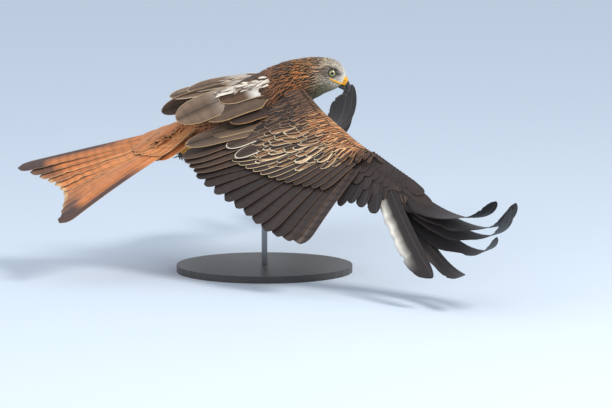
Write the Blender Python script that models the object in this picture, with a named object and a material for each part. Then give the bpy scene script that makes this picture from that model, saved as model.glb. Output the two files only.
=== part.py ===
"""Red kite in flight, life size, on a plain display stand.

The bird flies towards +X with its left wing towards +Y. Lengths are in metres and angles in degrees.
The origin is at the centre of the underside of the stand's base. The left wing and leg are modelled and
the right ones are their mirror images.
"""

import math

import bmesh
import bpy
from mathutils import Matrix, Vector

# The bird's own frame sits between the shoulders. BIRD_AT places it above the stand.
BIRD_AT = Vector((0.062, 0.0, 0.292))

# Clearance between touching pieces, and how far a solid is grown before it is cut from its neighbour.
GAP = 0.0004
GROW = 0.0006

# Trunk, neck and head as rings in the plane of symmetry: top x, top z, bottom x, bottom z, half width.
BODY_RINGS = (
    (0.0790, 0.0400, 0.0690, 0.0230, 0.0070),
    (0.0775, 0.0500, 0.0590, 0.0175, 0.0125),
    (0.0720, 0.0610, 0.0440, 0.0110, 0.0190),
    (0.0610, 0.0695, 0.0290, 0.0030, 0.0235),
    (0.0450, 0.0745, 0.0150, -0.0040, 0.0262),
    (0.0210, 0.0755, 0.0010, -0.0120, 0.0300),
    (-0.0050, 0.0730, -0.0140, -0.0210, 0.0360),
    (-0.0320, 0.0680, -0.0320, -0.0320, 0.0440),
    (-0.0640, 0.0560, -0.0520, -0.0430, 0.0510),
    (-0.0950, 0.0420, -0.0790, -0.0520, 0.0540),
    (-0.1280, 0.0250, -0.1110, -0.0570, 0.0500),
    (-0.1590, 0.0070, -0.1440, -0.0560, 0.0410),
    (-0.1850, -0.0080, -0.1720, -0.0560, 0.0300),
    (-0.2030, -0.0200, -0.1950, -0.0540, 0.0190),
)
HEAD_END = 4.0
NECK_START = 4.03
NECK_END = 6.0
TORSO_START = 6.02
TORSO_END = len(BODY_RINGS) - 1.0
BODY_SIDES = 18

# The head turns a little to the bird's right, about an upright line through the neck.
HEAD_YAW = -12.0
TURN_FROM_X = -0.030
TURN_TO_X = 0.035
TURN_AXIS_X = 0.005

# Head frame: its origin is at the corner of the mouth and its x axis runs along the closed bill.
GAPE = Vector((0.0476, 0.0, 0.0386))
BILL_PITCH = 30.0
BILL_SIDES = 12

# Bill rings in the head frame: top x, top z, bottom x, bottom z, half width.
CERE_RINGS = (
    (0.0205, 0.0185, 0.0205, 0.0020, 0.0082),
    (0.0265, 0.0172, 0.0265, 0.0012, 0.0074),
    (0.0310, 0.0146, 0.0305, 0.0006, 0.0066),
)
UPPER_BILL_RINGS = (
    (0.0315, 0.0142, 0.0310, 0.0005, 0.0063),
    (0.0365, 0.0102, 0.0345, -0.0002, 0.0052),
    (0.0408, 0.0048, 0.0375, -0.0018, 0.0039),
    (0.0432, -0.0012, 0.0402, -0.0040, 0.0026),
    (0.0438, -0.0066, 0.0422, -0.0074, 0.0011),
)
LOWER_BILL_RINGS = (
    (0.0150, -0.0010, 0.0150, -0.0068, 0.0080),
    (0.0260, -0.0012, 0.0255, -0.0066, 0.0064),
    (0.0330, -0.0022, 0.0322, -0.0062, 0.0044),
    (0.0362, -0.0042, 0.0356, -0.0060, 0.0026),
)
NOSTRIL_AT = Vector((0.0275, 0.0068, 0.0096))
NOSTRIL_RADII = (0.0017, 0.0016, 0.0010)

# Lips, mouth line and brow follow the skin of the head: place along and above the mouth, in the head frame.
LIP_PLACES = ((0.0240, 0.0026), (0.0170, 0.0018), (0.0090, 0.0014), (0.0010, 0.0016))
LIP_RADII = (0.0012, 0.0017, 0.0018, 0.0017, 0.0010)
LIP_FRONT = (0.0288, 0.0040, 0.0036)
MOUTH_LINE_Z = -0.0006
MOUTH_LINE_RADIUS = 0.0007
BROW_PLACES = ((0.0130, 0.0170), (0.0060, 0.0198), (-0.0030, 0.0200), (-0.0110, 0.0172))
BROW_RADII = (0.0014, 0.0024, 0.0024, 0.0012)

# Eyes in shallow sockets, each with a ring of lid, in the head frame.
EYE_RADIUS = 0.0084
EYE_AT = (0.0016, 0.0140, 0.0112)
SOCKET_AT = (0.0016, 0.0248, 0.0112)
SOCKET_RADII = (0.0112, 0.0062, 0.0092)
LID_RADIUS = 0.0068
LID_THICKNESS = 0.0012
LID_OUTWARD = 0.0052

# Wing plane: it droops from the shoulder and its front edge is pitched up.
SHOULDER = Vector((-0.009, 0.045, 0.005))
WING_DROOP = 27.0
WING_PITCH = 26.9
WING_SAG = 0.23
LEFT_WING_RAISED = 3.4

# Places in the wing plane: forward, outward.
ELBOW = (-0.032, 0.118)
WRIST = (0.081, 0.208)
HAND_TIP = (0.122, 0.314)
WRIST_CUT_ANGLE = -43.0

# Flesh of the wing: outward place, front edge, rear edge, thickness.
ARM_SECTIONS = (
    (-0.022, 0.012, -0.070, 0.036),
    (0.012, 0.020, -0.072, 0.033),
    (0.060, 0.031, -0.066, 0.027),
    (0.110, 0.047, -0.056, 0.023),
    (0.160, 0.064, -0.014, 0.019),
    (0.208, 0.083, 0.034, 0.016),
    (0.235, 0.093, 0.052, 0.014),
)
HAND_SECTIONS = (
    (0.185, 0.073, 0.020, 0.017),
    (0.208, 0.083, 0.034, 0.016),
    (0.250, 0.099, 0.058, 0.013),
    (0.290, 0.114, 0.080, 0.010),
    (0.322, 0.124, 0.102, 0.006),
)
# Upper surface of the flesh across its chord: share of the chord, share of the thickness.
FOIL = ((0.0, 0.0), (0.05, 0.30), (0.18, 0.48), (0.40, 0.50), (0.70, 0.32), (1.0, 0.09))
FOIL_UNDER = -0.75

# Vanes: thickness at the root and at the tip, and how far the front edge is lifted.
VANE_ROOT = 0.0011
VANE_TIP = 0.0006
ROLL = 5.5
ROLL_POWER = 0.8
LONG_STOPS = (0.0, 0.18, 0.36, 0.52, 0.68, 0.82, 0.94, 1.0)
TAIL_STOPS = (0.0, 0.22, 0.60, 0.92, 0.98, 1.0)
MEDIUM_STOPS = (0.0, 0.30, 0.62, 0.88, 0.96, 1.0)
SHORT_STOPS = (0.0, 0.36, 0.72, 0.92, 1.0)

# Primaries from the innermost to the outermost. The first four are growing and still short.
PRIMARY_ROOTS = (0.06, 0.15, 0.24, 0.33, 0.43, 0.54, 0.66, 0.78, 0.88, 0.97)
PRIMARY_LENGTHS = (0.108, 0.095, 0.097, 0.107, 0.280, 0.338, 0.366, 0.378, 0.350, 0.260)
PRIMARY_ANGLES = (-40.5, -35.5, -27.0, -16.0, -2.0, 4.0, 16.5, 23.5, 27.2, 28.5)
PRIMARY_RISE_FROM = (-4.0, -4.0, -5.0, -6.0, -9.0, -36.0, -40.0, -34.0, -28.7, -26.0)
PRIMARY_RISE_TO = (-6.0, -6.0, -6.0, -6.0, -6.0, 34.0, 57.0, 66.0, 60.0, 53.0)
PRIMARY_SWEEPS = (-4.0, -4.0, -4.0, -4.0, 9.0, 13.0, 14.0, 14.5, 13.0, 14.0)
FIRST_FINGER = 5
FINGER_TURN = 70.0
# The fingers of the raised left hand are turned and bent less, start higher and lie further forward.
LEFT_FINGER_TURN = 60.0
LEFT_FINGER_BEND = 0.45
LEFT_FINGER_RAISED = 16.0
LEFT_FINGER_FORWARD = 4.0

# Secondaries from the wrist to the elbow.
SECONDARY_LENGTHS = (0.204, 0.203, 0.199, 0.194, 0.182, 0.175, 0.172, 0.172, 0.173, 0.173)
SECONDARY_ANGLES = (-43.7, -46.5, -50.0, -54.5, -60.5, -67.0, -74.0, -81.5, -89.5, -96.6)
TERTIAL_COUNT = 4

# Tail: its root, slope, twist to the right, fan and the lengths from the middle feather outwards.
TAIL_ROOT = Vector((-0.175, 0.0, -0.037))
TAIL_PITCH = 24.8
TAIL_TWIST = -19.0
TAIL_STEP = 3.1
TAIL_LIFT = 3.2
TAIL_LENGTHS = (0.262, 0.266, 0.274, 0.286, 0.300, 0.321)

# Scapulars in the bird's frame: sides, root, tip, half width, lean outwards, arch. Wind lifts two on the left.
BOTH = (1.0, -1.0)
SCAPULARS = (
    (BOTH, (-0.103, 0.030, 0.019), (-0.228, 0.060, -0.023), 0.026, 25.0, 8.0),
    (BOTH, (-0.065, 0.040, 0.014), (-0.180, 0.062, -0.021), 0.022, 22.0, 8.0),
    (BOTH, (-0.059, 0.030, 0.030), (-0.152, 0.045, 0.007), 0.017, 28.0, 10.0),
    (BOTH, (-0.044, 0.040, -0.006), (-0.137, 0.070, -0.028), 0.017, 12.0, 8.0),
    ((1.0,), (-0.055, 0.026, 0.045), (-0.189, 0.050, 0.027), 0.020, 0.0, 16.0),
    ((1.0,), (-0.095, 0.030, 0.030), (-0.218, 0.055, 0.018), 0.020, 0.0, 12.0),
)
# Inner coverts in the wing plane, which lie over the tertials: root, tip, half width.
INNER_COVERTS = (
    ((-0.058, 0.024, 0.002), (-0.167, 0.040, 0.038), 0.018),
    ((-0.060, 0.034, 0.000), (-0.207, 0.051, 0.046), 0.020),
    ((-0.057, 0.047, 0.000), (-0.144, 0.073, 0.025), 0.016),
    ((-0.056, 0.074, -0.002), (-0.136, 0.102, 0.021), 0.014),
)
INNER_COVERT_LEAN = 6.0

# Legs are tucked back under the tail with the feet closed.
THIGH_AT = Vector((-0.108, 0.027, -0.049))
THIGH_RADII = (0.042, 0.015, 0.018)
ANKLE = Vector((-0.134, 0.025, -0.063))
FOOT = Vector((-0.180, 0.024, -0.077))
SHANK_RADIUS = 0.0042
# Toes from the foot: sideways place, knuckle, end and curl of the claw, each as backward and upward places.
TOES = (
    (0.0060, (-0.0140, -0.0010), (-0.0210, -0.0110), (0.0050, -0.0050)),
    (0.0000, (-0.0160, 0.0000), (-0.0235, -0.0105), (0.0050, -0.0050)),
    (-0.0060, (-0.0140, -0.0010), (-0.0210, -0.0110), (0.0050, -0.0050)),
    (0.0000, (0.0020, -0.0110), (-0.0060, -0.0170), (-0.0020, 0.0060)),
)

BASE_RADIUS = 0.15
BASE_HEIGHT = 0.012
ROD_RADIUS = 0.005


def material(name, colour, roughness, metallic=0.0):
    made = bpy.data.materials.new(name)
    made.use_nodes = True
    shader = made.node_tree.nodes["Principled BSDF"]
    shader.inputs["Base Color"].default_value = (*colour, 1.0)
    shader.inputs["Roughness"].default_value = roughness
    shader.inputs["Metallic"].default_value = metallic
    return made


def mesh_object(name, bm, finish):
    """An object made of a bmesh, with its faces turned outwards."""
    bmesh.ops.recalc_face_normals(bm, faces=bm.faces)
    mesh = bpy.data.meshes.new(name)
    bm.to_mesh(mesh)
    bm.free()
    mesh.materials.append(finish)
    made = bpy.data.objects.new(name, mesh)
    bpy.context.scene.collection.objects.link(made)
    return made


def loft(name, rings, finish):
    """A closed solid through rings of points in the bird's frame, with flat ends."""
    bm = bmesh.new()
    rows = [[bm.verts.new(BIRD_AT + p) for p in ring] for ring in rings]
    for row, after in zip(rows, rows[1:]):
        for i in range(len(row)):
            j = (i + 1) % len(row)
            bm.faces.new((row[i], row[j], after[j], after[i]))
    bm.faces.new(rows[0])
    bm.faces.new(rows[-1])
    return mesh_object(name, bm, finish)


def tube(name, points, radii, finish, sides=8):
    """A closed round tube along points, with its own radius at each."""
    rings = []
    for i, point in enumerate(points):
        ahead = points[min(i + 1, len(points) - 1)] - points[max(i - 1, 0)]
        turn = ahead.to_track_quat("Z", "Y")
        ring = []
        for k in range(sides):
            angle = math.tau * k / sides
            ring.append(point + turn @ Vector((radii[i] * math.cos(angle), radii[i] * math.sin(angle), 0.0)))
        rings.append(ring)
    return loft(name, rings, finish)


def ball(name, centre, radii, finish, axes=None, rings=8, sides=14):
    """An ellipsoid, along the bird's own axes or along the columns of a matrix."""
    bm = bmesh.new()
    bmesh.ops.create_uvsphere(bm, u_segments=sides, v_segments=rings, radius=1.0)
    place = Matrix.Translation(BIRD_AT + centre)
    if axes is not None:
        place = place @ axes.to_4x4()
    bmesh.ops.transform(bm, matrix=place @ Matrix.Diagonal((*radii, 1.0)), verts=bm.verts)
    return mesh_object(name, bm, finish)


def hoop(name, centre, axes, radius, thickness, finish, steps=18, sides=6):
    """A closed ring of round section about the second of three axes."""
    bm = bmesh.new()
    loops = []
    for k in range(steps):
        around = math.tau * k / steps
        outward = axes.col[0] * math.cos(around) + axes.col[2] * math.sin(around)
        loop = []
        for j in range(sides):
            turn = math.tau * j / sides
            reach = radius + thickness * math.cos(turn)
            loop.append(bm.verts.new(BIRD_AT + centre + outward * reach + axes.col[1] * thickness * math.sin(turn)))
        loops.append(loop)
    for k, loop in enumerate(loops):
        after = loops[(k + 1) % steps]
        for j in range(sides):
            i = (j + 1) % sides
            bm.faces.new((loop[j], loop[i], after[i], after[j]))
    return mesh_object(name, bm, finish)


def upright_cylinder(name, radius, bottom, top, sides, finish):
    bm = bmesh.new()
    size = top - bottom
    bmesh.ops.create_cone(bm, cap_ends=True, segments=sides, radius1=radius, radius2=radius, depth=size)
    bmesh.ops.translate(bm, vec=Vector((0.0, 0.0, bottom + size / 2)), verts=bm.verts)
    return mesh_object(name, bm, finish)


def combine(target, tools, operation):
    """One Boolean of the target with a collection of closed tools, applied, and the tools removed."""
    group = bpy.data.collections.new(target.name + "_tools")
    bpy.context.scene.collection.children.link(group)
    for tool in tools:
        group.objects.link(tool)
    step = target.modifiers.new("combine", "BOOLEAN")
    step.operation = operation
    step.solver = "MANIFOLD"
    step.operand_type = "COLLECTION"
    step.collection = group
    graph = bpy.context.evaluated_depsgraph_get()
    made = bpy.data.meshes.new_from_object(target.evaluated_get(graph))
    target.modifiers.clear()
    target.data = made
    for tool in tools:
        bpy.data.objects.remove(tool, do_unlink=True)
    bpy.data.collections.remove(group)
    return target


def keep_largest(target):
    """Keeps the largest closed surface, which drops scraps and sealed hollows."""
    bm = bmesh.new()
    bm.from_mesh(target.data)
    left = set(bm.faces)
    shells = []
    while left:
        shell = {left.pop()}
        front = list(shell)
        while front:
            for edge in front.pop().edges:
                for other in edge.link_faces:
                    if other in left:
                        left.remove(other)
                        shell.add(other)
                        front.append(other)
        shells.append(shell)
    shells.sort(key=lambda shell: sum(face.calc_area() for face in shell))
    loose = [face for shell in shells[:-1] for face in shell]
    bmesh.ops.delete(bm, geom=loose, context="FACES")
    bm.to_mesh(target.data)
    bm.free()
    return target


def grown(source, amount=GROW):
    """A copy of a solid with its surface moved outwards."""
    mesh = source.data.copy()
    moved = [v.co + v.normal * amount for v in mesh.vertices]
    for v, place in zip(mesh.vertices, moved):
        v.co = place
    made = bpy.data.objects.new(source.name + "_grown", mesh)
    bpy.context.scene.collection.objects.link(made)
    return made


def mirrored(source, name):
    """The right-hand copy of a left-hand solid."""
    bm = bmesh.new()
    bm.from_mesh(source.data)
    bmesh.ops.transform(bm, matrix=Matrix.Diagonal((1.0, -1.0, 1.0, 1.0)), verts=bm.verts)
    bmesh.ops.reverse_faces(bm, faces=bm.faces)
    mesh = bpy.data.meshes.new(name)
    bm.to_mesh(mesh)
    bm.free()
    mesh.materials.append(source.data.materials[0])
    made = bpy.data.objects.new(name, mesh)
    bpy.context.scene.collection.objects.link(made)
    return made


def eased(t):
    t = min(max(t, 0.0), 1.0)
    return t * t * (3.0 - 2.0 * t)


def between(rows, u):
    """A row of a table of numbers at place u, on a smooth curve through the rows."""
    i = min(max(int(math.floor(u)), 0), len(rows) - 2)
    t = u - i
    before, here, after, beyond = (rows[min(max(k, 0), len(rows) - 1)] for k in (i - 1, i, i + 1, i + 2))
    mixed = []
    for p, q, r, s in zip(before, here, after, beyond):
        cubic = 3.0 * (q - r) + s - p
        square = 2.0 * p - 5.0 * q + 4.0 * r - s
        mixed.append(q + 0.5 * t * (r - p + t * (square + t * cubic)))
    return mixed


def along_line(a, b, t):
    return tuple(p + (q - p) * t for p, q in zip(a, b))


def turned(point):
    """Turns a point of the head and neck to the bird's right."""
    share = eased((point.x - TURN_FROM_X) / (TURN_TO_X - TURN_FROM_X))
    axis = Vector((TURN_AXIS_X, 0.0, 0.0))
    return Matrix.Rotation(math.radians(HEAD_YAW * share), 3, "Z") @ (point - axis) + axis


def body_point(u, angle):
    """A point of the body's skin. u counts rings from the bill and the angle runs from the back to the left."""
    top_x, top_z, bottom_x, bottom_z, width = between(BODY_RINGS, u)
    top = Vector((top_x, 0.0, top_z))
    bottom = Vector((bottom_x, 0.0, bottom_z))
    side = Vector((0.0, width * math.sin(angle), 0.0))
    return turned((top + bottom) / 2 + (top - bottom) / 2 * math.cos(angle) + side)


def body_length(name, u_from, u_to, steps, finish):
    """A length of the body between two places along it."""
    rings = []
    for k in range(steps + 1):
        u = u_from + (u_to - u_from) * k / steps
        rings.append([body_point(u, math.tau * i / BODY_SIDES) for i in range(BODY_SIDES)])
    return loft(name, rings, finish)


def head_point(x, y, z):
    """A point given in the head frame."""
    pitch = math.radians(BILL_PITCH)
    forward = Vector((math.cos(pitch), 0.0, -math.sin(pitch)))
    up = Vector((math.sin(pitch), 0.0, math.cos(pitch)))
    return turned(GAPE + x * forward + z * up + Vector((0.0, y, 0.0)))


def head_axes():
    """The forward, left and upward directions of the head frame as columns."""
    middle = head_point(0.0, 0.0, 0.0)
    columns = [(head_point(*step) - middle).normalized() for step in ((0.01, 0, 0), (0, 0.01, 0), (0, 0, 0.01))]
    return Matrix(columns).transposed()


def on_head(head, x, z, side, depth):
    """The point of the head's skin beside a place of its plane of symmetry, moved inwards by depth."""
    start = BIRD_AT + head_point(x, side * 0.06, z)
    aim = (BIRD_AT + head_point(x, 0.0, z) - start).normalized()
    hit, place, normal, index = head.ray_cast(start, aim)
    return place - BIRD_AT - normal * depth


def bill_solid(name, rows, finish):
    rings = []
    for top_x, top_z, bottom_x, bottom_z, width in rows:
        ring = []
        for k in range(BILL_SIDES):
            angle = math.tau * k / BILL_SIDES
            up = 0.5 + 0.5 * math.cos(angle)
            x = bottom_x + (top_x - bottom_x) * up
            z = bottom_z + (top_z - bottom_z) * up
            ring.append(head_point(x, width * math.sin(angle), z))
        rings.append(ring)
    return loft(name, rings, finish)


def wing_axes():
    """Forward, outward and upward directions of the wing plane."""
    droop = math.radians(WING_DROOP)
    pitch = math.radians(WING_PITCH)
    outward = Vector((0.0, math.cos(droop), -math.sin(droop)))
    lifted = Vector((0.0, math.sin(droop), math.cos(droop)))
    forward = math.cos(pitch) * Vector((1.0, 0.0, 0.0)) + math.sin(pitch) * lifted
    return forward, outward, forward.cross(outward)


FORWARD, OUTWARD, UPWARD = wing_axes()


def wing_point(forward, outward, up=0.0):
    """A point of the wing plane, which sags outwards."""
    return SHOULDER + forward * FORWARD + outward * OUTWARD + (up - WING_SAG * outward * outward) * UPWARD


def wing_flesh(name, sections, steps, finish):
    """The fleshy front of the wing through foil-shaped sections."""
    rings = []
    last = len(sections) - 1
    for k in range(steps + 1):
        outward, front, rear, thick = between(sections, last * k / steps)
        upper = [(front + (rear - front) * c, h * thick) for c, h in FOIL]
        under = [(f, FOIL_UNDER * h) for f, h in reversed(upper[1:])]
        rings.append([wing_point(f, outward, h) for f, h in upper + under])
    return loft(name, rings, finish)


def vane_profile(lead, trail, root=0.35, round_from=0.72, finger_from=None, finger=(1.0, 1.0)):
    """Widths before and behind the shaft along a vane. A finger is the narrow outer part of a notched vane."""

    def widths(t):
        share = root + (1.0 - root) * eased(t / 0.22)
        if t > round_from:
            share *= max(0.16, math.sqrt(max(0.0, 1.0 - ((t - round_from) / (1.0 - round_from)) ** 2)))
        ahead, behind = lead * share, trail * share
        if finger_from is not None:
            narrow = eased((t - finger_from) / 0.14)
            ahead *= 1.0 + (finger[0] - 1.0) * narrow
            behind *= 1.0 + (finger[1] - 1.0) * narrow
        return ahead, behind

    return widths


def vane_stations(start, axes, length, stops, rise=(0.0, 0.0), sweep=0.0, roll=(ROLL, ROLL), power=1.2):
    """Places along a curved vane as point, direction to its front edge and direction upwards.

    axes holds the shaft's first direction, the direction to the front edge and the direction upwards. rise
    bends the shaft up from its first angle to its last, sweep bends it forwards, and roll lifts the front edge.
    """
    along, across, above = axes

    def turn_at(t):
        climb = math.radians(rise[0] + (rise[1] - rise[0]) * t**power)
        bend = math.radians(sweep * t)
        level = along * math.cos(bend) + across * math.sin(bend)
        front = across * math.cos(bend) - along * math.sin(bend)
        heading = level * math.cos(climb) + above * math.sin(climb)
        return heading, front, above * math.cos(climb) - level * math.sin(climb)

    fine = 24
    places = [tuple(start)]
    for k in range(fine):
        heading = turn_at((k + 0.5) / fine)[0]
        places.append(tuple(Vector(places[-1]) + heading * (length / fine)))
    stations = []
    for t in stops:
        heading, front, up = turn_at(t)
        tilt = math.radians(roll[0] + (roll[1] - roll[0]) * t**ROLL_POWER)
        place = Vector(between(places, t * fine))
        lifted = front * math.cos(tilt) + up * math.sin(tilt)
        stations.append((place, lifted, up * math.cos(tilt) - front * math.sin(tilt)))
    return stations


def vane(name, stations, stops, widths, finish):
    """A closed thin vane, thickest at its root. Both faces are split into the same triangles."""
    bm = bmesh.new()
    rows = []
    for t, (place, front, up) in zip(stops, stations):
        ahead, behind = widths(t)
        half = up * ((VANE_ROOT + (VANE_TIP - VANE_ROOT) * t) / 2)
        corners = (front * ahead + half, front * -behind + half, front * -behind - half, front * ahead - half)
        rows.append([bm.verts.new(BIRD_AT + place + corner) for corner in corners])
    for row, after in zip(rows, rows[1:]):
        bm.faces.new((row[0], row[1], after[1]))
        bm.faces.new((row[0], after[1], after[0]))
        bm.faces.new((row[3], after[2], row[2]))
        bm.faces.new((row[3], after[3], after[2]))
        for i, j in ((0, 3), (1, 2)):
            bm.faces.new((row[i], after[i], after[j]))
            bm.faces.new((row[i], after[j], row[j]))
    for row in (rows[0], rows[-1]):
        bm.faces.new((row[0], row[2], row[1]))
        bm.faces.new((row[0], row[3], row[2]))
    return mesh_object(name, bm, finish)


def wing_vane(name, root, angle, length, widths, finish, stops, rise, sweep=0.0, roll=(ROLL, ROLL)):
    """A vane that starts at a point of the wing plane, at an angle forward of outward."""
    turn = math.radians(angle)
    along = math.cos(turn) * OUTWARD + math.sin(turn) * FORWARD
    across = math.cos(turn) * FORWARD - math.sin(turn) * OUTWARD
    stations = vane_stations(wing_point(*root), (along, across, UPWARD), length, stops, rise, sweep, roll)
    return vane(name, stations, stops, widths, finish)


def primaries(finish, left_hand):
    made = []
    turn = LEFT_FINGER_TURN if left_hand else FINGER_TURN
    for i, share in enumerate(PRIMARY_ROOTS):
        forward, outward = along_line(WRIST, HAND_TIP, share)
        fingered = i >= FIRST_FINGER
        pronated = turn * max(0.0, (i - FIRST_FINGER + 1.0) / 5.0)
        angle = PRIMARY_ANGLES[i]
        rise = (PRIMARY_RISE_FROM[i], PRIMARY_RISE_TO[i])
        if left_hand and fingered:
            angle += LEFT_FINGER_FORWARD
            rise = (rise[0] + LEFT_FINGER_RAISED, rise[1] * LEFT_FINGER_BEND + LEFT_FINGER_RAISED)
        widths = vane_profile(
            0.0095 if i >= 4 else 0.0085,
            0.0300 if i >= 4 else 0.0190,
            round_from=0.80 if fingered else 0.72,
            finger_from=0.44 if fingered else None,
            finger=(0.85, 0.55),
        )
        made.append(
            wing_vane(
                f"primary_{i}",
                (forward - 0.010, outward, 0.0),
                angle,
                PRIMARY_LENGTHS[i],
                widths,
                finish,
                LONG_STOPS if i >= 4 else MEDIUM_STOPS,
                rise,
                PRIMARY_SWEEPS[i],
                (ROLL, ROLL - pronated),
            )
        )
    return made


def primary_coverts(finish):
    made = []
    for i in range(8):
        share = i / 7.0
        forward, outward = along_line(WRIST, HAND_TIP, 0.06 + 0.86 * share)
        made.append(
            wing_vane(
                f"primary_covert_{i}",
                (forward - 0.008, outward, 0.0035),
                -36.0 + 62.0 * share**0.85,
                0.062 + 0.042 * share,
                vane_profile(0.0080, 0.0160, round_from=0.70),
                finish,
                SHORT_STOPS,
                (-3.0 - 16.0 * share, -4.0 - 10.0 * share),
            )
        )
    return made


def alula(finish):
    made = []
    for i in range(3):
        forward, outward = along_line(WRIST, HAND_TIP, 0.04 + 0.10 * i)
        made.append(
            wing_vane(
                f"alula_{i}",
                (forward - 0.002 * i, outward, 0.0050 + 0.0012 * i),
                10.0 + 3.0 * i,
                0.105 - 0.018 * i,
                vane_profile(0.0065, 0.0120, round_from=0.66),
                finish,
                SHORT_STOPS,
                (-9.0, -14.0),
            )
        )
    return made


def secondaries(finish):
    made = []
    last = len(SECONDARY_ANGLES) - 1.0
    for i, (angle, length) in enumerate(zip(SECONDARY_ANGLES, SECONDARY_LENGTHS)):
        share = i / last
        forward, outward = along_line(WRIST, ELBOW, 0.05 + 0.93 * share)
        made.append(
            wing_vane(
                f"secondary_{i}",
                (forward - 0.010, outward, 0.0),
                angle,
                length,
                vane_profile(0.0160, 0.0330, round_from=0.86),
                finish,
                MEDIUM_STOPS,
                (3.0 + 3.0 * share, -12.0 + 12.0 * share),
                sweep=-8.0,
            )
        )
    return made


def arm_coverts(finish):
    """Greater coverts over the secondaries and median coverts over the greater ones."""
    made = []
    for i in range(9):
        share = i / 8.0
        forward, outward = along_line(WRIST, ELBOW, 0.05 + 0.95 * share)
        angle = -56.0 - 52.0 * share
        made.append(
            wing_vane(
                f"greater_covert_{i}",
                (forward - 0.010, outward, 0.0045),
                angle,
                0.098 + 0.018 * share,
                vane_profile(0.0125, 0.0220, round_from=0.72),
                finish,
                SHORT_STOPS,
                (1.5, -4.0 + 4.0 * share),
                sweep=-4.0,
            )
        )
        made.append(
            wing_vane(
                f"median_covert_{i}",
                (forward + 0.006, outward, 0.0080),
                angle - 2.0,
                0.072 + 0.012 * share,
                vane_profile(0.0125, 0.0180, round_from=0.62),
                finish,
                SHORT_STOPS,
                (1.5, -3.0 + 3.0 * share),
            )
        )
    return made


def tertials(finish):
    made = []
    for i in range(TERTIAL_COUNT):
        share = (i + 1.0) / TERTIAL_COUNT
        forward, outward = along_line(ELBOW, (-0.036, 0.040), share)
        made.append(
            wing_vane(
                f"tertial_{i}",
                (forward - 0.004, outward, 0.0040 + 0.0010 * i),
                -98.0 + 16.0 * share,
                0.172 + 0.010 * share,
                vane_profile(0.0180, 0.0260, round_from=0.74),
                finish,
                SHORT_STOPS,
                (6.0 + 6.0 * share, 4.0 + 8.0 * share),
                sweep=-4.0,
            )
        )
    return made


def hand_solid(name, left_hand, finish):
    """Flesh and feathers of a hand, in the left wing's plan, cut off at the wrist."""
    hand = wing_flesh(name, HAND_SECTIONS, 5, finish)
    combine(hand, primaries(finish, left_hand) + primary_coverts(finish) + alula(finish), "UNION")
    combine(hand, [wrist_cutter(True, finish)], "DIFFERENCE")
    return keep_largest(hand)


def wrist_cutter(keep_hand, finish):
    """A block that takes away all of the wing on one side of the wrist."""
    turn = math.radians(WRIST_CUT_ANGLE)
    along = math.cos(turn) * OUTWARD + math.sin(turn) * FORWARD
    across = math.cos(turn) * FORWARD - math.sin(turn) * OUTWARD
    side = -1.0 if keep_hand else 1.0
    bm = bmesh.new()
    bmesh.ops.create_cube(bm, size=1.0)
    axes = Matrix((along, across, UPWARD)).transposed().to_4x4()
    middle = BIRD_AT + wing_point(*WRIST) + side * across * (0.5 - GAP / 2)
    bmesh.ops.transform(bm, matrix=Matrix.Translation(middle) @ axes, verts=bm.verts)
    return mesh_object("wrist_cutter", bm, finish)


def raise_wing(solid):
    """Turns a solid of the left wing up about the shoulder."""
    shoulder = BIRD_AT + SHOULDER
    turn = Matrix.Rotation(math.radians(LEFT_WING_RAISED), 4, "X")
    solid.data.transform(Matrix.Translation(shoulder) @ turn @ Matrix.Translation(-shoulder))


def tail_axes():
    """Backward, left and upward directions of the tail as columns."""
    pitch = math.radians(TAIL_PITCH)
    back = Vector((-math.cos(pitch), 0.0, -math.sin(pitch)))
    left = Matrix.Rotation(math.radians(TAIL_TWIST), 3, back) @ Vector((0.0, 1.0, 0.0))
    return Matrix((back, left, left.cross(back))).transposed()


def tail_vane(name, side, angle, length, lift, start, half_width, stops, finish):
    """A feather of the tail, turned from its middle line to one side."""
    back, left, above = tail_axes().col
    turn = math.radians(angle)
    raised = math.radians(lift)
    level = back * math.cos(turn) + left * (side * math.sin(turn))
    across = left * (side * math.cos(turn)) - back * math.sin(turn)
    along = level * math.cos(raised) + above * math.sin(raised)
    axes = (along, across, above * math.cos(raised) - level * math.sin(raised))
    root = TAIL_ROOT + along * start[0] + above * start[1]
    stations = vane_stations(root, axes, length - start[0], stops, (2.0, -2.0), 1.2 * angle / TAIL_STEP, (-3.5, -3.5))
    widths = vane_profile(half_width * 0.9, half_width * 1.1, root=0.4, round_from=0.92)
    return vane(name, stations, stops, widths, finish)


def tail_solid(finish):
    """Six feathers a side, the middle pair on top, and coverts over and under their roots."""
    axes = tail_axes()
    tail = ball("tail", TAIL_ROOT + axes.col[0] * 0.040, (0.040, 0.024, 0.011), finish, axes, 6, 12)
    feathers = []
    for side in (1.0, -1.0):
        for i, length in enumerate(TAIL_LENGTHS):
            angle = 0.5 * TAIL_STEP + TAIL_STEP * i
            start = (0.012, 0.0016 * side - 0.0006 * i)
            name = f"tail_{side:+.0f}_{i}"
            feathers.append(
                tail_vane(name, side, angle, length, TAIL_LIFT * i / 5.0, start, 0.0165, TAIL_STOPS, finish)
            )
        for i in range(2):
            angle = 6.0 + 13.0 * i
            name = f"upper_tail_covert_{side:+.0f}_{i}"
            start = (0.006, 0.0085 - 0.0012 * i)
            feathers.append(
                tail_vane(name, side, angle, 0.122 - 0.014 * i, 0.0, start, 0.0190, SHORT_STOPS, finish)
            )
        name = f"under_tail_covert_{side:+.0f}"
        feathers.append(tail_vane(name, side, 8.0, 0.110, 0.0, (0.004, -0.0100), 0.0200, SHORT_STOPS, finish))
    combine(tail, feathers, "UNION")
    return tail


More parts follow.
